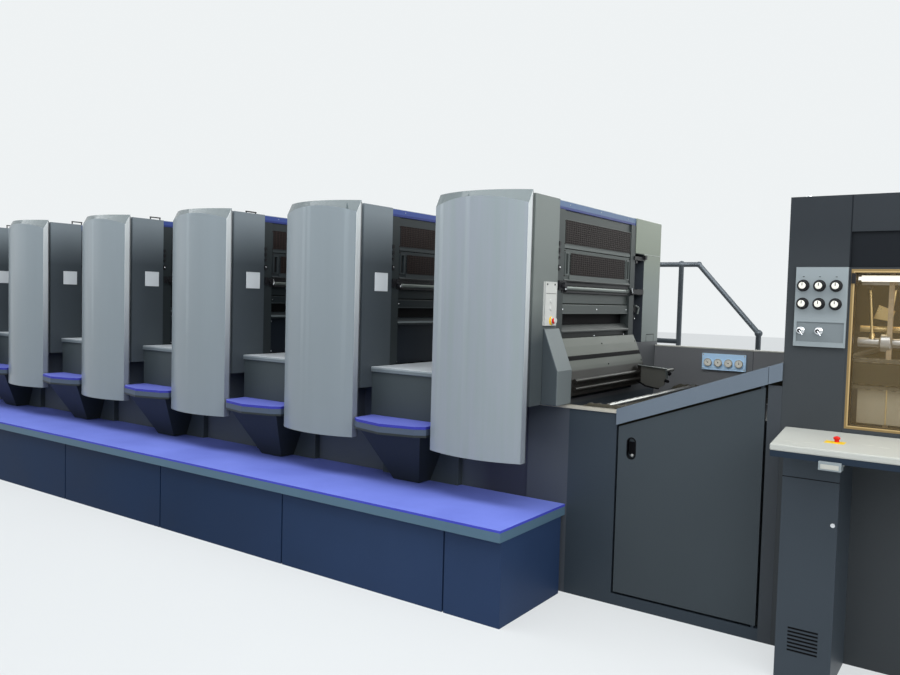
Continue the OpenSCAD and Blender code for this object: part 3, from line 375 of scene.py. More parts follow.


# Cover paint. Its bluish vertical streaks are partly the brushed finish and partly a painted reflection of
# the ceiling lamps. The covers of units 2 to 6 are painted darker as painted shade. Each cover's
# upward-facing cap is painted darker still as painted shade, most on units 2 to 6.
SILVER = paint("silver_cover_paint", (0.219, 0.257, 0.270), 0.42, 0.12, 0.05, 260, 0.02, (1, 1, 0.06),
               coat=0.5, patch=9, tint=(0.234, 0.262, 0.294), coat_rough=0.14, zones=[
                   ((0.196, 0.230, 0.250), [OTHER_UNITS]),
                   ((0.089, 0.113, 0.118), [ramp("nZ", 0.2, 0.3)]),
                   ((0.070, 0.092, 0.098), [ramp("nZ", 0.2, 0.3), OTHER_UNITS])])
# The cover's side fold: the cover's own silver, painted far lighter as a painted highlight where the lamps
# catch it, fading from z 1700 down to z 1000 into a dimmer tone.
LIT_SILVER_FOLD = paint("silver_fold_painted_highlight", (0.52, 0.55, 0.56), 0.38, 0.2, 0.05, 260, 0.02, zones=[
    ((0.21, 0.235, 0.270), [ramp("Z", 1700, 1000)])])
# Housing paint. On the first unit it is painted darker from z 1610 down to z 1370, and on units 2 to 6 from
# z 2110 down to z 1800. This is a painted sheen at the tops, where the glossy paint mirrors the ceiling
# lamps, with painted shade below. Units 2 to 6 have a lighter tone at the top.
HOUSING = paint("housing_paint", (0.148, 0.168, 0.162), 0.42, 0.1, 0.14, 240, 0.05, patch=1.6, zones=[
    ((0.052, 0.063, 0.069), [ramp("Z", 1610, 1370)]),
    ((0.158, 0.186, 0.206), [OTHER_UNITS]),
    ((0.054, 0.066, 0.076), [OTHER_UNITS, ramp("Z", 2110, 1800)])])
DRIVE = paint("drive_housing_paint", (0.207, 0.237, 0.194), 0.42, 0.05, 0.08, 240, 0.04, zones=[
    ((0.235, 0.270, 0.260), [ramp("Z", 1950, 1650)])])
# Base paint. On the first unit, the front faces from x 0 to 200 rightwards are painted darker as painted
# shade. Its faces towards +X above z 1010 are painted lighter as painted light from the right.
BASE = paint("base_paint", (0.078, 0.094, 0.112), 0.45, 0.1, 0.18, 180, 0.06, zones=[
    ((0.034, 0.038, 0.056), [FIRST_UNIT, ramp("nY", -0.5, -0.6), ramp("X", 0, 200)]),
    ((0.125, 0.132, 0.140), [FIRST_UNIT, ramp("nX", 0.5, 0.6), ramp("Z", 1010, 1020)])])
BLOCK = paint("block_paint", (0.048, 0.061, 0.067), 0.45, 0.1, 0.16, 180, 0.06)
BODY = paint("delivery_body_paint", (0.030, 0.032, 0.034), 0.5, 0.2, 0.2, 160, 0.08, spec=0.1)
# Near-black for the unit cores, which show only deep in the recesses: painted shade.
RECESS_SHADE_BLACK = paint("recess_shade_black_paint", (0.005, 0.005, 0.006), 0.6, 0.0, 0.2, 150, 0.08, spec=0.08)
# Dark paint for the drive bays' lining, where it is painted shade, and for dark panels on the infeed and
# feeder.
LINER = paint("bay_lining_paint", (0.040, 0.047, 0.058), 0.45, 0.1, 0.2, 200, 0.05)
# Guard posts: units 2 to 6 are painted darker as painted shade.
RECESS = paint("recess_paint", (0.037, 0.045, 0.045), 0.4, 0.1, 0.14, 200, 0.05, zones=[
    ((0.022, 0.028, 0.031), [OTHER_UNITS])])
# Lower panels, darker in steps towards the bottom. Units 2 to 6 are painted darker as painted shade, with a
# light band from z 1433 to 1445 as a painted highlight on the ledge.
PANEL = paint("recess_panel_paint", (0.072, 0.084, 0.081), 0.36, 0.15, 0.16, 200, 0.05, zones=[
    ((0.048, 0.056, 0.054), [ramp("Z", 1531, 1530)]),
    ((0.038, 0.043, 0.042), [ramp("Z", 1476, 1475)]),
    ((0.021, 0.024, 0.023), [ramp("Z", 1423.5, 1422)]),
    ((0.013, 0.018, 0.021), [OTHER_UNITS]),
    ((0.085, 0.105, 0.112), [OTHER_UNITS, ramp("Z", 1445, 1443), ramp("Z", 1433, 1435)]),
    ((0.006, 0.010, 0.017), [OTHER_UNITS, ramp("Z", 1423.5, 1422)])])
# Black ground behind the grille wires: painted shade.
GRILLE_SHADE = paint("grille_shade_ground_paint", (0.010, 0.008, 0.008), 0.5, 0.0, 0.2, 200, 0.05, spec=0.08)
# Guard rims: units 2 to 6 are painted darker as painted shade. A near-black band below z 1720 is the
# painted shadow between the guard and the bar.
RIM = paint("guard_rim_paint", (0.060, 0.071, 0.069), 0.4, 0.2, 0.1, 200, 0.04, zones=[
    ((0.026, 0.032, 0.036), [OTHER_UNITS]), ((0.010, 0.010, 0.011), [ramp("Z", 1721.5, 1720)])])
# Light lips and rails on the guards: units 2 to 6 are painted darker as painted shade.
LIP = paint("guard_lip_paint", (0.092, 0.106, 0.103), 0.4, 0.2, 0.1, 200, 0.04, zones=[
    ((0.036, 0.044, 0.048), [OTHER_UNITS])])
BLUE = paint("blue_band_paint", (0.078, 0.128, 0.235), 0.4, 0.1, 0.06, 240, 0.03, zones=[
    ((0.036, 0.062, 0.225), [OTHER_UNITS]), ((0.020, 0.032, 0.150), [ramp("Z", 2128, 2121)])])
ROOF = paint("roof_edge_paint", (0.46, 0.49, 0.47), 0.45, 0.1, 0.08, 240, 0.03)
CHROME = paint("chrome_metal", (0.72, 0.74, 0.76), 0.12, 1.0, 0.04, 300, 0.01)
BAR = paint("round_bar_steel", (0.17, 0.19, 0.18), 0.34, 0.6, 0.12, 300, 0.02, (1, 0.2, 1), patch=6)
STEEL = paint("brushed_steel", (0.42, 0.42, 0.41), 0.32, 0.9, 0.10, 260, 0.05, (1, 0.05, 1))
OILED = paint("oiled_steel", (0.085, 0.078, 0.060), 0.55, 0.4, 0.3, 140, 0.1, patch=9)
RAIL_IRON = paint("rail_iron_paint", (0.032, 0.030, 0.022), 0.75, 0.0, 0.3, 120, 0.12, patch=7, spec=0.02)
DARK_IRON = paint("oiled_iron", (0.045, 0.042, 0.034), 0.45, 0.3, 0.3, 120, 0.12, patch=7)
# Platform plates. Their top faces are painted pale, partly as painted light from above and partly for the
# pale papers lying on them.
PLATE = paint("platform_plate", (0.155, 0.185, 0.205), 0.42, 0.4, 0.12, 200, 0.06, patch=5, zones=[
    ((0.30, 0.34, 0.36), [ramp("Z", 1155, 1157)]),
    ((0.70, 0.74, 0.78), [ramp("nZ", 0.7, 0.8)])])
# Step brackets, their lowest part below z 820 painted dark as painted shade.
BRACKET = paint("bracket_paint", (0.066, 0.088, 0.124), 0.45, 0.2, 0.1, 200, 0.05, zones=[
    ((0.024, 0.030, 0.032), [ramp("Z", 822, 820)])])
MAT = ribbed_mat("blue_step_mat", (0.086, 0.110, 0.50), 0.010)
WALK_MAT = ribbed_mat("blue_walk_mat", (0.122, 0.166, 0.66), 0.016)
# Walkway panels, painted lighter towards x 0 as painted light near the lit end of the press.
NAVY = paint("navy_paint", (0.006, 0.020, 0.056), 0.5, 0.0, 0.25, 160, 0.06, spec=0.1, zones=[
    ((0.018, 0.036, 0.085), [ramp("X", -1800, 0)])])
DECK = paint("deck_edge_paint", (0.074, 0.135, 0.190), 0.42, 0.1, 0.12, 160, 0.06)
TOPS = paint("roof_paint", (0.02, 0.02, 0.022), 0.45, 0.1, 0.08, 240, 0.03, zones=[
    ((0.46, 0.49, 0.47), [ramp("Z", 2157, 2156)])])
LINE = paint("seam_shadow_paint", (0.004, 0.004, 0.005), 0.6, 0.0, 0.2, 200, 0.03, spec=0.05)
# Grille wires: units 2 to 6 are painted a little darker as painted shade.
WIRE = paint("grille_wire_paint", (0.027, 0.021, 0.020), 0.45, 0.0, 0.2, 200, 0.03, spec=0.1, zones=[
    ((0.024, 0.015, 0.014), [OTHER_UNITS])])
WHITE = paint("white_strip_paint", (0.50, 0.51, 0.49), 0.4, 0.0, 0.04, 260, 0.02, zones=[
    ((0.62, 0.65, 0.67), [OTHER_UNITS])])
SHEET = paint("sheet_guard_metal", (0.080, 0.088, 0.078), 0.40, 0.45, 0.22, 240, 0.05, (0.3, 1, 1),
              patch=4, zones=[
                  ((0.020, 0.018, 0.016), [ramp("Z", 1222, 1212), ramp("X", 732, 730)]),
                  ((0.105, 0.105, 0.095), [ramp("X", 712, 714)])])
CHEEK = paint("cheek_paint", (0.138, 0.160, 0.166), 0.42, 0.15, 0.1, 240, 0.04, zones=[
    ((0.052, 0.064, 0.072), [ramp("nY", -0.5, -0.6)])])
SLATE = paint("slate_paint", (0.037, 0.048, 0.060), 0.45, 0.1, 0.14, 190, 0.06)
# Near wall: its piece left of x 698 is painted lighter as painted light.
WALL = paint("near_wall_paint", (0.030, 0.041, 0.053), 0.45, 0.1, 0.14, 190, 0.06, zones=[
    ((0.058, 0.067, 0.081), [ramp("X", 700, 698)]), ((0.043, 0.050, 0.058), [ramp("X", 1728, 1730)])])
DOOR = paint("door_paint", (0.041, 0.052, 0.060), 0.45, 0.1, 0.14, 190, 0.06)
BAND = paint("pale_band_paint", (0.126, 0.156, 0.192), 0.4, 0.15, 0.07, 240, 0.03, zones=[
    ((0.42, 0.40, 0.34), [ramp("X", BAND_X - 1, BAND_X - 1.6)])])
FAR = paint("far_wall_paint", (0.150, 0.155, 0.163), 0.5, 0.05, 0.14, 190, 0.06)
PALE = paint("pale_edge_paint", (0.44, 0.44, 0.40), 0.45, 0.05, 0.08, 200, 0.03)
GAUGE = paint("gauge_plate_paint", (0.50, 0.72, 0.95), 0.4, 0.05, 0.05, 240, 0.02)
BRASS = paint("bezel_brass", (0.50, 0.40, 0.24), 0.35, 0.6, 0.1, 260, 0.02)
DIAL = paint("dial_white", (0.78, 0.76, 0.68), 0.4, 0.0, 0.03, 260, 0.01)
TOWER = paint("tower_paint", (0.040, 0.046, 0.051), 0.45, 0.1, 0.12, 190, 0.06, zones=[
    ((0.0205, 0.025, 0.030), [ramp("Z", 1500, 1950)]), ((0.026, 0.031, 0.036), [ramp("nX", -0.5, -0.6)])])
HEADER = paint("header_black_paint", (0.009, 0.011, 0.014), 0.45, 0.1, 0.15, 190, 0.05, spec=0.1)
# Bronze frame paint, and lit and shaded copies of it that paint a moulded frame's highlight and shade on
# flat strips.
BRONZE = paint("bronze_frame_paint", (0.13, 0.088, 0.036), 0.35, 0.4, 0.15, 240, 0.04)
BRONZE_HALF_SHADE = paint("bronze_half_shade_paint", (0.27, 0.185, 0.080), 0.35, 0.4, 0.15, 240, 0.04)
BRONZE_HIGHLIGHT = paint("bronze_highlight_paint", (0.50, 0.36, 0.17), 0.35, 0.4, 0.15, 240, 0.04)
BRONZE_SHADE = paint("bronze_shade_paint", (0.035, 0.024, 0.012), 0.4, 0.3, 0.15, 240, 0.04)
AMBER = tinted_glass("amber_pane", (0.30, 0.21, 0.09))
AIR = paint("air_panel_paint", (0.245, 0.280, 0.295), 0.42, 0.1, 0.06, 240, 0.03, zones=[
    ((0.165, 0.19, 0.202), [ramp("Y", 313.2, 314.2), ramp("Z", 1560, 1558)])])
RUBBER = paint("black_plastic", (0.012, 0.012, 0.014), 0.4, 0.0, 0.2, 300, 0.04)
WOOD = planks("pile_planks", (0.36, 0.27, 0.17))
TABLE = paint("table_laminate", (0.42, 0.43, 0.40), 0.4, 0.0, 0.05, 300, 0.02, patch=4)
SKIRT = paint("table_skirt_paint", (0.010, 0.020, 0.036), 0.45, 0.0, 0.1, 240, 0.03)
GALLERY = checker_plate("gallery_plate", (0.12, 0.135, 0.15))
RAIL = paint("rail_steel_metal", (0.125, 0.142, 0.160), 0.42, 0.6, 0.12, 260, 0.03, patch=5)
FEEDER = paint("feeder_paint", (0.085, 0.105, 0.125), 0.45, 0.1, 0.12, 200, 0.05)
RED = paint("button_red", (0.55, 0.02, 0.015), 0.65, 0.0, 0.06, 260, 0.02, spec=0.1)
YELLOW = paint("plate_yellow", (0.75, 0.50, 0.02), 0.4, 0.0, 0.05, 260, 0.02)
INNER = paint("inner_guide_paint", (0.30, 0.27, 0.20), 0.4, 0.1, 0.12, 240, 0.03, patch=4)
GOLD = paint("inner_gold_metal", (0.62, 0.46, 0.22), 0.28, 0.9, 0.12, 240, 0.03, patch=8)
GLOW = lamp_white("lamp_tube", 1.1)

LOOKS = {
    "unit_bases": BASE, "operator_housings": HOUSING, "drive_housings": DRIVE, "unit_cores": RECESS_SHADE_BLACK,
    "unit_tops": TOPS, "duct_bands": BLUE, "guard_posts": RECESS, "upper_grilles": RIM,
    "lower_panels": PANEL, "chrome_bars": BAR, "recess_levers": RUBBER, "gap_blocks": BLOCK,
    "platforms": PLATE, "step_brackets": BRACKET, "step_mats": MAT, "walkway_deck": DECK,
    "walkway_mat": WALK_MAT, "walkway_panels": NAVY, "control_strip": WHITE, "cheek_block": CHEEK,
    "sheet_guard": SHEET, "delivery_near_wall": WALL, "delivery_band": BAND, "side_door": DOOR,
    "delivery_far_wall": FAR, "delivery_body": BODY, "chain_rails": RAIL_IRON, "gripper_chains": OILED,
    "chain_sprockets": OILED, "gripper_bars": STEEL, "gauge_panel": GAUGE, "tower_near_side": TOWER,
    "tower_shell": TOWER, "window_frame": BRONZE, "tower_window": AMBER, "air_controls": AIR,
    "pile_board": WOOD, "console_table": TABLE, "console_cabinet": SLATE, "gallery": GALLERY,
    "handrail": RAIL, "infeed_housing": SLATE, "feed_board": STEEL, "feeder_frame": FEEDER,
    "feeder_head": STEEL, "feeder_pile_board": WOOD,
}
for i in range(1, UNITS + 1):
    LOOKS[f"cover_{i}"] = SILVER
    LOOKS[f"guard_{i}"] = RIM
ROUNDING = {"operator_housings": 4, "drive_housings": 6, "delivery_near_wall": 2, "console_table": 6,
            "cheek_block": 5, "tower_near_side": 3, "tower_shell": 3, "air_controls": 2, "platforms": 3,
            "gauge_panel": 1.5, "lower_panels": 3, "guard_posts": 2, "console_cabinet": 3, "side_door": 3,
            "infeed_housing": 5, "feeder_frame": 4, "unit_bases": 3, "gap_blocks": 3, "feeder_head": 4,
            "control_strip": 1.5, "delivery_band": 1.5, "duct_bands": 2, "delivery_far_wall": 3}
for name, piece in nodes.items():
    piece.data.materials.clear()
    piece.data.materials.append(LOOKS[name])
    weld = piece.modifiers.new("weld", "WELD")
    weld.merge_threshold = 0.00002
    if name in ROUNDING:
        edge = piece.modifiers.new("rounding", "BEVEL")
        edge.width = ROUNDING[name] / 1000
        edge.segments = 2
        edge.limit_method = "ANGLE"
        edge.angle_limit = math.radians(35)

# Camera, floor and light

scene = bpy.context.scene
scene.view_settings.view_transform = "Standard"

lens = bpy.data.cameras.new("camera")
lens.sensor_width = 36
lens.lens = 32.27
camera = bpy.data.objects.new("camera", lens)
scene.collection.objects.link(camera)
yaw, pitch, roll = (math.radians(v) for v in (34.96, -2.77, 1.53))
ahead = Vector((-math.sin(yaw) * math.cos(pitch), math.cos(yaw) * math.cos(pitch), math.sin(pitch)))
right = Vector((math.cos(yaw), math.sin(yaw), 0))
upward = right.cross(ahead)
turned_x = math.cos(roll) * right + math.sin(roll) * upward
turned_y = -math.sin(roll) * right + math.cos(roll) * upward
stand = (5.1365, -4.704, 1.60)
camera.matrix_world = Matrix(
    [[turned_x[i], turned_y[i], -ahead[i], stand[i]] for i in range(3)] + [[0, 0, 0, 1]])
scene.camera = camera

floor_mesh = bpy.data.meshes.new("floor")
floor_mesh.from_pydata([(-40, -40, 0), (40, -40, 0), (40, 40, 0), (-40, 40, 0)], [], [(0, 1, 2, 3)])
floor = bpy.data.objects.new("floor", floor_mesh)
floor_paint = paint("pale_floor", (0.62, 0.64, 0.66), 0.6, 0.0, 0.02, 40, 0.01)
made, links = floor_paint.node_tree.nodes, floor_paint.node_tree.links
glow = made.new("ShaderNodeEmission")
glow.inputs["Color"].default_value = BACKDROP
path = made.new("ShaderNodeLightPath")
share = None
for ray in ("Is Camera Ray", "Is Glossy Ray", "Is Transmission Ray"):
    step = made.new("ShaderNodeMath")
    step.operation = "MULTIPLY_ADD"
    step.inputs[1].default_value = FLOOR_SHARE
    step.inputs[2].default_value = 0
    links.new(path.outputs[ray], step.inputs[0])
    if share:
        links.new(share, step.inputs[2])
    share = step.outputs[0]
even = made.new("ShaderNodeMixShader")
links.new(share, even.inputs["Fac"])
links.new(made["Principled BSDF"].outputs["BSDF"], even.inputs[1])
links.new(glow.outputs["Emission"], even.inputs[2])
links.new(even.outputs["Shader"], made["Material Output"].inputs["Surface"])
floor_mesh.materials.append(floor_paint)
scene.collection.objects.link(floor)

world = bpy.data.worlds.new("room")
scene.world = world
world.use_nodes = True
sky, sky_links = world.node_tree.nodes, world.node_tree.links
room = sky["Background"]
room.inputs["Color"].default_value = (0.86, 0.92, 1.0, 1)
room.inputs["Strength"].default_value = 0.38
seen = sky.new("ShaderNodeBackground")
seen.inputs["Color"].default_value = BACKDROP
seen.inputs["Strength"].default_value = 1.0
path = sky.new("ShaderNodeLightPath")
clear = None
for ray in ("Is Camera Ray", "Is Glossy Ray", "Is Transmission Ray"):
    both = sky.new("ShaderNodeMath")
    both.operation = "MAXIMUM"
    sky_links.new(path.outputs[ray], both.inputs[0])
    if clear:
        sky_links.new(clear, both.inputs[1])
    clear = both.outputs[0]
choice = sky.new("ShaderNodeMixShader")
sky_links.new(clear, choice.inputs["Fac"])
sky_links.new(room.outputs["Background"], choice.inputs[1])
sky_links.new(seen.outputs["Background"], choice.inputs[2])
sky_links.new(choice.outputs["Shader"], sky["World Output"].inputs["Surface"])


def panel_light(name, place, aim, size, watts, colour=(1, 1, 1)):
    lamp = bpy.data.lights.new(name, "AREA")
    lamp.shape = "RECTANGLE"
    lamp.size, lamp.size_y = size
    lamp.energy = watts
    lamp.color = colour
    light = bpy.data.objects.new(name, lamp)
    light.location = place
    light.rotation_euler = (Vector(aim) - Vector(place)).to_track_quat("-Z", "Y").to_euler()
    scene.collection.objects.link(light)


panel_light("ceiling_row", (0.0, -2.6, 4.6), (0.0, 0.2, 0.6), (12, 1.6), 270, (0.97, 0.99, 1.0))
panel_light("delivery_side", (8.5, -1.5, 4.2), (2.5, 0.0, 1.2), (4.5, 3.5), 230, (1.0, 0.99, 0.96))
panel_light("back_windows", (0.5, 7.0, 4.0), (0.5, 0.0, 1.5), (12, 2.5), 260, (0.96, 1.0, 0.95))
panel_light("left_fill", (-9.5, -5.5, 3.2), (-3.0, -0.8, 1.2), (5, 3), 25, (0.92, 0.96, 1.0))
panel_light("front_right", (7.0, -6.5, 3.8), (1.5, -0.8, 1.2), (4, 3), 130, (0.96, 0.98, 1.0))
panel_light("tower_inside", (5.0, -0.30, 2.0), (5.0, -0.45, 1.2), (1.2, 0.25), 4, (1.0, 0.82, 0.55))

# Small parts on the printing units


def ring(shape, x0, x1, y0, y1, z0, z1, w, tag=0):
    """A flat rectangular rim of width w, facing +X."""
    shape.box((x0, y0, z0), (x1, y1, z0 + w), tag)
    shape.box((x0, y0, z1 - w), (x1, y1, z1), tag)
    shape.box((x0, y0, z0 + w), (x1, y0 + w, z1 - w), tag)
    shape.box((x0, y1 - w, z0 + w), (x1, y1, z1 - w), tag)


def screen(shape, x, y0, y1, z0, z1, tag=0):
    """A mesh of upright and level wires, facing +X, in front of a black ground that is painted shade for
    the dark behind it.
    """
    shape.box((x - 0.6, y0, z0), (x, y1, z1), tag + 1)
    count = round((y1 - y0) / 28)
    for i in range(count + 1):
        y = y0 + (y1 - y0) * i / count
        shape.box((x, max(y0, y - 3.5), z0), (x + 1.4, min(y1, y + 3.5), z1), tag)
    count = round((z1 - z0) / 12)
    for i in range(count + 1):
        z = z0 + (z1 - z0) * i / count
        shape.box((x + 1.2, y0, max(z0, z - 1.8)), (x + 2.4, y1, min(z1, z + 1.8)), tag)


for k in range(UNITS):
    s = -k * PITCH
    end = s + HOUSING_END
    face = s + GUARD_FACE
    upper = Shape()
    screen(upper, face + 0.8, 424, 1340, 1925, 2056)
    for y in (417, 1346):
        for z in (1924, 2049):
            upper.screw((face, y, z), (1, 0, 0), 4.5, 3)
    upper.box((face - 6, GUARD_FRONT, 1899), (face + 1.5, GUARD_BACK, 1915), 2)
    upper.done(f"upper_mesh_{k + 1}", [WIRE, GRILLE_SHADE, LIP])

    guard = Shape()
    screen(guard, face + 0.8, 500, 1262, 1752, 1874)
    guard.box((face - 1, 480, 1722), (face + 5, 1283, 1750), 2)
    for y in (GUARD_FRONT + 22, GUARD_BACK - 44):
        ring(guard, face, face + 4, y - 11, y + 33, GUARD_FOOT + 44, GUARD_TOP - 17, 8, 2)
        # A black sheet inside each grip: painted shade behind the grip.
        guard.box((face - 11, y + 1, GUARD_FOOT + 53), (face - 10, y + 21, GUARD_TOP - 27), 1)
    for y in (GUARD_FRONT + 6, GUARD_BACK - 6):
        for z in (GUARD_FOOT + 40, GUARD_TOP - 9):
            guard.screw((face, y, z), (1, 0, 0), 4, 3)
    guard.done(f"guard_mesh_{k + 1}", [WIRE, GRILLE_SHADE, LIP], f"guard_{k + 1}")

    fittings = Shape()
    handles = (((s + 600, 426, 1664), (s + 600, 410, 1704)), ((s + 603, 1374, 1662), (s + 601, 1358, 1700)))
    for low, high in handles:
        fittings.tube(low, high, 7.5, 14, tag=0)
        fittings.turned(low, (0, 1 if low[1] < 900 else -1, -2.4), [(10, -3), (10, 6), (7, 9)], 16, 1)
    fittings.box((s + 590, 388, 1650), (s + 596, 438, 1716), 1)
    # Black strips just above and below the bar: painted shadow along it.
    for z0, z1 in ((1649.5, 1661), (1691, 1703)):
        fittings.box((s + 562, 436, z0), (s + 590.5, 1330, z1), 1)
    fittings.box((s + 592, 1356, 1646), (s + 598, 1374, 1698), 1)
    fittings.box((s + 592, 342, 1664), (s + 603, 370, 1716), 1)
    for z0, z1 in ((1908, 1930), (1868, 1892), (1836, 1848), (1772, 1802)):
        fittings.box((s + 592, 337, z0), (s + 600, 355, z1), 1)
        fittings.box((s + 592, 341, z0 - 6), (s + 596, 349, z0), 1)
    fittings.turned((s + 600, 346, 1787), (1, 0, 0), [(5, -1), (5, 3), (3, 4.5)], 14, 0)
    fittings.turned((s + 566, 1507, 1498), (1, 0, 0), [(6, -1), (6, 4), (4, 6)], 14, 0)
    # A thin light strip at z 1530 along the panel's lower edge: a painted highlight.
    fittings.box((s + 582, 411, 1530.5), (s + 584.2, 1352, 1537), 2)
    fittings.box((s + 589, 1408, 1886), (s + 599, 1588, 1910), 1)
    fittings.box((s + 589, 1560, 1896), (s + 612, 1592, 1922), 1)
    fittings.box((s + 589, 1392, 1660), (s + 601, 1572, 1692), 1)
    fittings.tube((s + 584, 1474, 1586), (s + 590, 1524, 1570), 7, 12, tag=2)
    fittings.tube((s + 590, 1524, 1570), (s + 590, 1504, 1527), 7, 12, tag=2)
    for y in (430, 880, 1332):
        for z in (1182, 1398):
            fittings.screw((s + 570, y, z), (1, 0, 0), 6, 4)
        fittings.screw((s + 582, y, 1557), (1, 0, 0), 5, 3)
    fittings.done(f"bar_fittings_{k + 1}", [CHROME, RUBBER, LIP])

    # Dark sheets lining each drive bay: painted shade inside the recess.
    liner = Shape()
    liner.box((s + CORE_FACE, 1429.6, 1341), (s + 537.2, 1578.8, 1929.6))
    liner.box((s + 537.2, 1577.6, 1341), (s + 594.5, 1578.8, 1929.6))
    liner.box((s + 537.2, 1429.6, 1928.4), (s + 594.5, 1577.6, 1929.6))
    liner.done(f"bay_lining_{k + 1}", LINER)

    roof = Shape()
    roof.box((s + CORE_FACE, 335, 2155), (s + 584, 1428, 2160))
    for y in (470, 882, 1294):
        roof.screw((s + 590, y, 2141), (1, 0, 0), 3, 1.5)
    roof.done(f"roof_edge_{k + 1}", ROOF, bevel=1)

    drive = Shape()
    for z in (1500, 2010):
        for x in (s + 250, s + 346):
            drive.turned((x, DRIVE_BACK, z), (0, 1, 0), [(13, -1), (13, 3), (9, 4), (9, 2)], 18, 1)
    drive.box((end, INNER_BACK + 151, 1928), (s + 596.4, DRIVE_BACK - 8, 1929.5), 0)
    drive.box((end, INNER_BACK + 151, 1929.5), (s + 596.5, DRIVE_BACK - 8, 1932.5), 2)
    drive.box((end, 1660, 1387), (s + 596.4, 1800, 1391), 0)
    drive.box((end, 1660, 1341), (s + 596.4, 1664, 1387), 0)
    drive.box((end, 1796, 1341), (s + 596.4, 1800, 1387), 0)
    drive.done(f"drive_locks_{k + 1}", [LINE, CHROME, ROOF])

    # The side fold of each cover, in the fold paint that carries its painted highlight.
    fold = Shape()
    outline = [(-4, 747), (42, 747), (42, 2172), (38, 2172), (0, 2103), (-4, 2096)]
    fold.prism(outline, 0, s + 589.6, s + 591.2)
    fold.box((s + 587, 36, 748), (s + 591.2, 43.5, 2168))
    fold.done(f"cover_fold_{k + 1}", LIT_SILVER_FOLD, f"cover_{k + 1}", bevel=0.6)

    if k:
        plate = Shape()
        plate.box((end, 171, 1634), (s + 599, 292, 1748))
        ring(plate, s + 599, s + 600.2, 171, 292, 1634, 1748, 4)
        for y, z in ((181, 1644), (282, 1644), (181, 1738), (282, 1738)):
            plate.screw((s + 599, y, z), (1, 0, 0), 3.2, 2)
        plate.done(f"blank_plate_{k + 1}", WHITE, bevel=1)

# Control strip and stop button on the first unit

strip = Shape()
strip.box((607, 178, 1640), (609, 299, 1642), 3)
ring(strip, 607, 610, 174, 303, 1468, 1704, 5, 2)
strip.turned((608, 248, 1494), (1, 0, 0), [(24, -1), (24, 2), (18, 3), (18, 7), (11.5, 7.4)], 28, 0)
strip.turned((614, 248, 1494), (1, 0, 0), [(11, 0), (11, 6), (15, 8), (15.5, 12), (12, 15), (5, 17)], 28, 1)
strip.turned((608, 196, 1690), (1, 0, 0), [(5, -1), (5, 2), (4, 3)], 16, 3)
strip.turned((608, 280, 1690), (1, 0, 0), [(5, -1), (5, 2), (4, 3)], 16, 3)
for z in (1560, 1600):
    strip.turned((608, 240, z), (1, 0, 0), [(11, -1), (11, 3), (9, 4.5)], 20, 2)
strip.done("control_strip_details", [YELLOW, RED, WHITE, LINE])

# Door pull, far wall cap, sheet guard trim and gauges of the delivery

pull = Shape()
pull.box((1041, 343, 812), (1079, 344.2, 878), 0)
pull.turned((1060, 343, 806), (0, -1, 0), [(8, 0), (8, 3), (6, 4), (6, 3)], 18, 1)
turns = [i * math.pi / 10 for i in range(11)]
lower_turns = [math.pi + t for t in turns]
outer, inner = [
    [(1060 + r * math.cos(t), 813 + r * math.sin(t)) for t in lower_turns]
    + [(1060 + r * math.cos(t), 877 + r * math.sin(t)) for t in turns] for r in (26, 20)]
n = len(outer)
points = [(x, 325, z) for x, z in outer]
points += [(x, y, z) for y in (323.5, 344) for x, z in inner]
faces = [(i, (i + 1) % n, (i + 1) % n + n, i + n) for i in range(n)]
faces += [(i + n, (i + 1) % n + n, (i + 1) % n + 2 * n, i + 2 * n) for i in range(n)]
pull.add(points, faces, 0)
pull.done("door_pull_liner", [LINE, STEEL], "side_door")

cap = Shape()
cap.prism([(FAR_Y - 3, 1306), (FAR_Y + 43, 1306), (FAR_Y + 43, 1315), (FAR_Y - 3, 1315)], 0, 600, 1788)
cap.box((1268, FAR_Y - 1, 960), (1270.5, FAR_Y + 1, 1306), 1)
cap.done("far_wall_cap", [PALE, LINE], bevel=1)

seams = Shape()
seams.prism([(646.2, 1296.4), (655.3, 1272.4), (649.9, 1270), (640.8, 1294)], 1, 358, 1420, 0)
rim = [(690, 1206), (722, 1201.5), (878, 1191.5), (881, 1195), (722, 1205.5), (690, 1210)]
seams.prism(rim, 1, 1286, 1316, 1)
seams.prism([(876, 1192), (882, 1130), (886, 1130), (881, 1195)], 1, 1290, 1314, 1)
rim = [(686, 1112), (752, 1079), (830, 1067), (832, 1060), (750, 1071), (686, 1104)]
seams.prism(rim, 1, 1284, 1316, 0)
seams.turned((886, 1330, 1162), (1, -0.1, -0.2), [(13, -12), (13, 8), (8, 14)], 20, 0)
seams.turned((884, 1300, 1116), (1, -0.1, -0.2), [(10, -12), (10, 10), (6, 16)], 20, 0)
for y in (372, 888, 1405):
    seams.screw((619, y, 1352), (0.83, 0, 0.55), 5, 3)
    seams.screw((668, y, 1232), (0.9, 0, 0.4), 5, 3)
seams.done("sheet_guard_trim", [LINE, LIP])

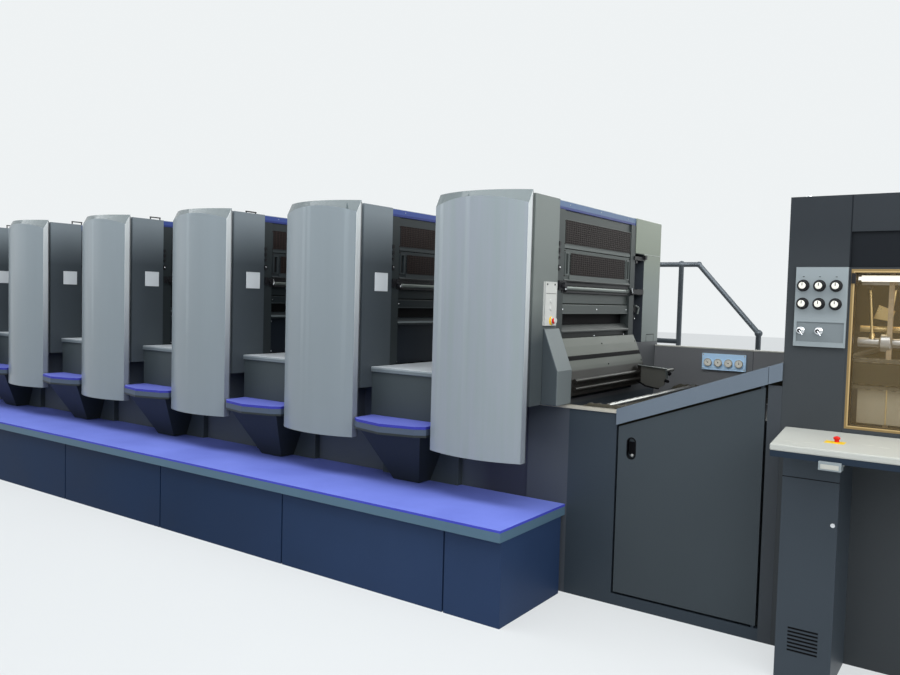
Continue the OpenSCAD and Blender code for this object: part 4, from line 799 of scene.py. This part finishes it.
gauges = Shape()
for i in range(4):
    x = 982 + 68 * i
    gauges.turned((x, 1812, 1218), (0, -1, 0), [(27, 0), (27, 10), (25.5, 14), (23, 14), (23, 11)], 32, 0)
    gauges.turned((x, 1801, 1218), (0, -1, 0), [(22.8, 0), (22.8, 1.2)], 32, 1)
    turn = math.radians((35, 60, 20, 80)[i])
    tip = (x - 15 * math.cos(turn), 1799.0, 1218 + 15 * math.sin(turn))
    gauges.tube((x + 4 * math.cos(turn), 1799.0, 1218 - 4 * math.sin(turn)), tip, 0.9, 6, tag=2)
    gauges.turned((x, 1799.8, 1218), (0, -1, 0), [(3.5, 0), (3.5, 1.2), (2, 1.7)], 12, 2)
    for j in range(9):
        t = math.radians(-40 + j * 32.5)
        low = (x - 18.5 * math.cos(t), 1799.6, 1218 + 18.5 * math.sin(t))
        high = (x - 21.5 * math.cos(t), 1799.6, 1218 + 21.5 * math.sin(t))
        gauges.tube(low, high, 0.5, 4, tag=2)
for x in (948, 1220):
    for z in (1176, 1269):
        gauges.screw((x, 1812, z), (0, -1, 0), 4, 2.5)
gauges.done("gauge_faces", [BRASS, DIAL, RUBBER])

# Header, knobs, console and window of the tower

header = Shape()
header.box((2051, 336.6, 1787), (3459, 338.2, 1943), 0)
header.box((2047, 325.2, 1786), (2052, 326.6, 2107), 0)
header.box((2049, 325.2, 300), (2051, 326.4, 1056), 0)
header.box((2051, 325.2, 1040), (3459, 326.4, 1043), 0)
header.done("header_face", HEADER)

knobs = Shape()
dial = [(27, 0), (27, 3), (22, 4), (21.8, 24), (20, 27.5), (15, 27.5), (15, 26.6)]
valve = [(17, 0), (17, 3), (11, 5), (10, 27), (13, 28), (13, 31), (9.5, 33)]
for i in range(3):
    for z in (1620, 1702):
        x = 1863 + 69 * i
        knobs.turned((x, 312.4, z), (0, -1, 0), dial, 28, 0)
        knobs.turned((x, 286, z), (0, -1, 0), [(15, 0), (15, 2.2), (13, 3)], 28, 1)
        knobs.box((x - 1.6, 282.4, z), (x + 1.6, 284.2, z + 13), 0)
    knobs.box((x - 4, 311.3, 1741), (x + 4, 312.4, 1744), 0)
for x in (1860, 1937):
    knobs.turned((x, 316, 1497), (0, -1, 0), valve, 24, 2)
    knobs.turned((x, 283.5, 1497), (0, -1, 0), [(9, 0), (9, 1.5), (5, 4)], 24, 0)
    knobs.tube((x, 281.5, 1497), (x + 14, 280.5, 1477), 3.5, 12, tag=2)
knobs.done("air_knobs", [RUBBER, DIAL, CHROME])

stop = Shape()
stop.box((2040, -30, 1046), (2116, 30, 1047.5), 0)
stop.turned((2083, 9, 1047.5), (0, 0, 1), [(9, 0), (9, 10), (13, 12), (13.5, 18), (10, 22), (4, 24)], 32, 1)
stop.box((1872, -212, 994), (2706, -207, 1018.5), 2)
stop.box((2058, -226, 966), (2140, -170, 1000), 3)
stop.box((2066, -228, 972), (2132, -226, 990), 4)
for x, y in ((1905, -96), (1972, -84), (1940, -142), (2180, 30), (2240, 6)):
    stop.box((x, y, 1045.5), (x + 38, y + 10, 1046.5), 4)
stop.done("console_stop_button", [YELLOW, RED, SKIRT, AIR, PALE], bevel=1)

cabinet = Shape()
cabinet.box((1880.5, -5, 878), (2104, -3.2, 881), 0)
cabinet.box((1879, -3, 878), (1880.4, 320, 881), 0)
cabinet.turned((2086, -4, 700), (0, -1, 0), [(9, 0), (9, 4), (6, 5)], 20, 1)
cabinet.louvres(1930, 2050, -5.2, -3.5, 130, 7, 16, 7)
cabinet.done("cabinet_seams", [LINE, CHROME])

tube = Shape()
tube.tube((2077, 376, 1738), (3434, 376, 1738), 13.6, 20)
tube.done("window_lamp_tube", GLOW)

# Flat strips around the window in the bronze copies: painted highlight and painted shade of a moulded
# frame.
trim = Shape()
for inset, width, tag in ((0.2, 7.8, 0), (8, 9, 3), (17, 5.5, 2), (22.5, 3.3, 1)):
    x0, x1 = WINDOW_X0 + inset, WINDOW_X1 - inset
    z0, z1 = WINDOW_FOOT + inset, WINDOW_HEAD - inset
    trim.box((x0, 327.6, z0), (x0 + width, 329.2, z1), tag)
    trim.box((x1 - width, 327.6, z0), (x1, 329.2, z1), tag)
    trim.box((x0 + width, 327.6, z0), (x1 - width, 329.2, z0 + width), tag)
    trim.box((x0 + width, 327.6, z1 - width), (x1 - width, 329.2, z1), tag)
trim.box((WINDOW_X0 + 10, 320, 1714), (WINDOW_X0 + 27, 328.5, 1760), 4)
trim.done("window_trim", [TOWER, BRONZE_SHADE, BRONZE_HIGHLIGHT, BRONZE_HALF_SHADE, RUBBER])

# What the pane shows inside the tower

inside = Shape()
grip = [(9, -4), (12, 4), (16, 22), (16, 30), (8, 36)]
for x in (2068, 3418):
    inside.box((x, 358, 1716), (x + 14, 399, 1762), 3)
inside.box((2096, 399, 1088), (3420, 403, 1382), 0)
for x in (2210, 2530, 2860, 3190):
    inside.box((x, 397.6, 1088), (x + 5, 399.2, 1382), 1)
inside.tube((2080, 452, 1452), (3436, 452, 1452), 21, 24, tag=2)
inside.tube((2080, 500, 1512), (3436, 500, 1512), 14, 20, tag=1)
for i in range(13):
    x = 2118 + 104 * i
    lean = (18, -26, 34, -8, 26, -30, 12)[i % 7]
    inside.tube((x, 470, 1700), (x + lean, 452, 1486), 6, 12, tag=1)
    inside.turned((x + lean, 452, 1490), (0.05 * lean / 18, 0, -1), grip, 16, 1)
    inside.box((x - 11, 458, 1690), (x + 11, 484, 1712), 3)
for i in range(6):
    x = 2170 + 216 * i
    inside.turned((x, 440, 1452), (1, 0, 0), [(30, 0), (40, 6), (40, 44), (30, 50)], 28, 2)
    inside.prism([(x - 40, 1560), (x + 34, 1548), (x + 46, 1596), (x - 20, 1622)], 1, 520, 530, 1)
inside.box((2080, 470, 1712), (3436, 492, 1728), 2)
inside.done("window_machinery", [INNER, GOLD, STEEL, RUBBER], bevel=1)

# Sides that the photo does not show

for k in range(UNITS):
    s = -k * PITCH
    rear = Shape()
    for z0, z1 in ((1640, 2060), (1260, 1560)):
        rear.box((s + 36.5, 432, z0), (s + 40.5, 1331, z1), 0)
        ring(rear, s + 35.5, s + 36.8, 432, 1331, z0, z1, 10, 1)
        for y in (452, 1311):
            for z in (z0 + 22, z1 - 22):
                rear.screw((s + 36, y, z), (-1, 0, 0), 6, 4)
        for y in (700, 1040):
            rear.tube((s + 37, y, z0 + 120), (s + 14, y, z0 + 120), 5, 12, tag=3)
        rear.tube((s + 14, 694, z0 + 120), (s + 14, 1046, z0 + 120), 6, 14, tag=3)
    rear.tube((s + 20, 372, 1600), (s + 20, 1391, 1600), 15, 24, tag=3)
    for y in (362, 1385):
        rear.box((s + 6, y, 1578), (s + 40.5, y + 16, 1622), 2)
    rear.done(f"rear_plates_{k + 1}", [RECESS, LINE, RUBBER, BAR], bevel=1)

    doors = Shape()
    for z0, z1 in ((120, 560), (600, 980)):
        seam = ((70, z0, 456, 5), (70, z1, 456, 5), (70, z0, 5, z1 - z0), (521, z0, 5, z1 - z0))
        for x, z, wide, high in seam:
            doors.box((s + x, DRIVE_BACK - 0.6, z), (s + x + wide, DRIVE_BACK + 1.4, z + high), 0)
        doors.lock((s + 486, DRIVE_BACK, (z0 + z1) / 2), (0, 1, 0))
    doors.louvres(s + 180, s + 400, DRIVE_BACK - 1, DRIVE_BACK + 2, 180, 8, 22, 8)
    doors.done(f"base_doors_{k + 1}", [LINE, CHROME])

far = Shape()
for x in (2420, 3060):
    far.box((x, 1869, 60), (x + 4, 1871.5, 2080), 0)
far.box((1800, 1869, 1040), (3690, 1871.5, 1044), 0)
for x in (2370, 3010, 3640):
    far.lock((x, TOWER_BACK, 900), (0, 1, 0), 18, 12)
    far.louvres(x - 420, x - 140, 1869, 1872, 180, 8, 24, 9)
for x in (2300, 3150):
    for i in range(5):
        r = 44 + 44 * i
        far.turned((x, 1098, TOWER_ROOF), (0, 0, 1), [(r, 0), (r, 5), (r + 6, 5), (r + 6, 0)], 48, 2)
    for turn in range(6):
        a = math.pi * turn / 6
        dx, dy = 226 * math.cos(a), 226 * math.sin(a)
        far.tube((x - dx, 1098 - dy, 2110), (x + dx, 1098 + dy, 2110), 3, 6, tag=2)
for x, y in ((1850, 420), (3640, 420), (1850, 1780), (3640, 1780)):
    far.turned((x, y, TOWER_ROOF), (0, 0, 1), [(26, 0), (26, 5), (12, 6), (12, 16), (7, 18)], 20, 1)
far.box((1792, 345, 2106), (3698, 350, 2109), 0)
for x in (760, 1440):
    far.box((x, 1869, 60), (x + 4, 1871.5, 1290), 0)
    far.lock((x - 46, TOWER_BACK, 780), (0, 1, 0))
far.done("far_side_seams", [LINE, CHROME, RUBBER])

infeed = Shape()
low, high = ROW_START - 420, ROW_START
infeed.box((low + 24, 330.8, 60), (low + 27, 332.4, 1120), 0)
infeed.box((low + 24, 330.8, 1120), (high - 24, 332.4, 1123), 0)
infeed.box((high - 27, 330.8, 60), (high - 24, 332.4, 1120), 0)
infeed.lock((low + 66, 332, 700), (0, -1, 0))
infeed.box((low + 210, 322, 1160), (high - 60, 332.5, 1380), 2)
for i in range(3):
    for z in (1200, 1250):
        place = (low + 240 + 45 * i, 322, z)
        infeed.turned(place, (0, -1, 0), [(13, -1), (13, 3), (10, 4), (10, 8), (8, 9)], 20, 3 + i)
infeed.box((low + 228, 320.8, 1290), (high - 78, 322.6, 1362), 6)
for y in (420, 1340):
    infeed.screw((low + 300, y, 1420), (0, 0, 1), 7, 5)
infeed.done("infeed_details", [LINE, CHROME, WHITE, RUBBER, STEEL, YELLOW, LINER])

feed = Shape()
x0, x1, z0, z1 = low - 900, low - 1, BOARD_HIGH, BOARD_LOW
for i in range(6):
    y = 440 + 176 * i
    tape = [(x0 + 6, z0 - 1), (x1 - 6, z1 - 1), (x1 - 6, z1 + 2.2), (x0 + 6, z0 + 2.2)]
    feed.prism(tape, 1, y - 18, y + 18, 0)
    for t in (0.3, 0.72):
        x, z = x0 + (x1 - x0) * t, z0 + (z1 - z0) * t
        feed.turned((x, y - 9, z + 22), (0, 1, 0), [(8, -4), (21, -4), (21, 22), (8, 22)], 28, 1)
for t in (0.3, 0.72):
    x, z = x0 + (x1 - x0) * t, z0 + (z1 - z0) * t
    feed.tube((x, 357, z + 22), (x, 1406, z + 22), 7, 16, tag=2)
feed.done("feed_tapes", [DARK_IRON, RUBBER, BAR])

head = Shape()
hx = FEEDER_X + 890
for y in (654, 814, 974):
    sucker = [(16.5, -20), (19, -12), (17, -6), (24, 8), (20, 10)]
    head.turned((hx + 60, y, 1330), (0, 0, -1), sucker, 20, 0)
    head.tube((hx + 60, y, 1450), (hx + 140, y, 1452), 9, 12, tag=1)
head.box((hx + 60, 600, 1549), (hx + 400, 1163, 1553), 2)
for y in (640, 1120):
    head.tube((hx - 30, y, 1500), (hx + 20, y, 1500), 12, 18, tag=1)
head.tube((hx - 26, 600, 1500), (hx - 26, 1163, 1500), 14, 20, tag=1)
for x in (hx + 120, hx + 380):
    for y in (620, 1140):
        head.screw((x, y, 1553), (0, 0, 1), 8, 6)
for i in range(4):
    knob = [(24, -1), (24, 4), (18, 6), (18, 20), (14, 24)]
    head.turned((hx + 90 + 100 * i, 594, 1496), (0, -1, 0), knob, 24, i % 2)
head.done("feeder_head_details", [RUBBER, BAR, FEEDER])

frame_trim = Shape()
for x in (FEEDER_X + 40, FEEDER_X + 1410):
    for z in (90, 820, 1620):
        frame_trim.screw((x, 234, z), (0, -1, 0), 14, 9)
        frame_trim.screw((x, 1529, z), (0, 1, 0), 14, 9)
frame_trim.box((FEEDER_X + 1254, 222, 1090), (FEEDER_X + 1408, 234.6, 1400), 1)
frame_trim.box((FEEDER_X + 1270, 220.8, 1290), (FEEDER_X + 1392, 222.6, 1380), 3)
for i in range(3):
    for j in range(3):
        place = (FEEDER_X + 1286 + 44 * i, 222, 1130 + 46 * j)
        button = [(13, -1), (13, 3), (10, 7), (8, 8)]
        frame_trim.turned(place, (0, -1, 0), button, 20, (0, 0, 2)[(i + j) % 3])
for y in (328, 1420):
    frame_trim.tube((FEEDER_X + 700, y, 240), (FEEDER_X + 700, y, 1600), 12, 18, tag=0)
frame_trim.done("feeder_frame_details", [STEEL, WHITE, RUBBER, LINER])

feet = Shape()
for k in range(UNITS + 1):
    x = min(ROW_START + k * PITCH, 536)
    for y in (DRIVE_BACK + 0.5, 2419):
        front, back = (y + 1, y + 78) if y < 2000 else (y - 18, y + 58)
        feet.box((x - 20, front, 0.2), (x + 80, back, 9), 0)
        for dx in (-8, 68):
            feet.screw((x + dx, y + 30, 9), (0, 0, 1), 7, 6)
feet.done("gallery_feet", DARK_IRON)
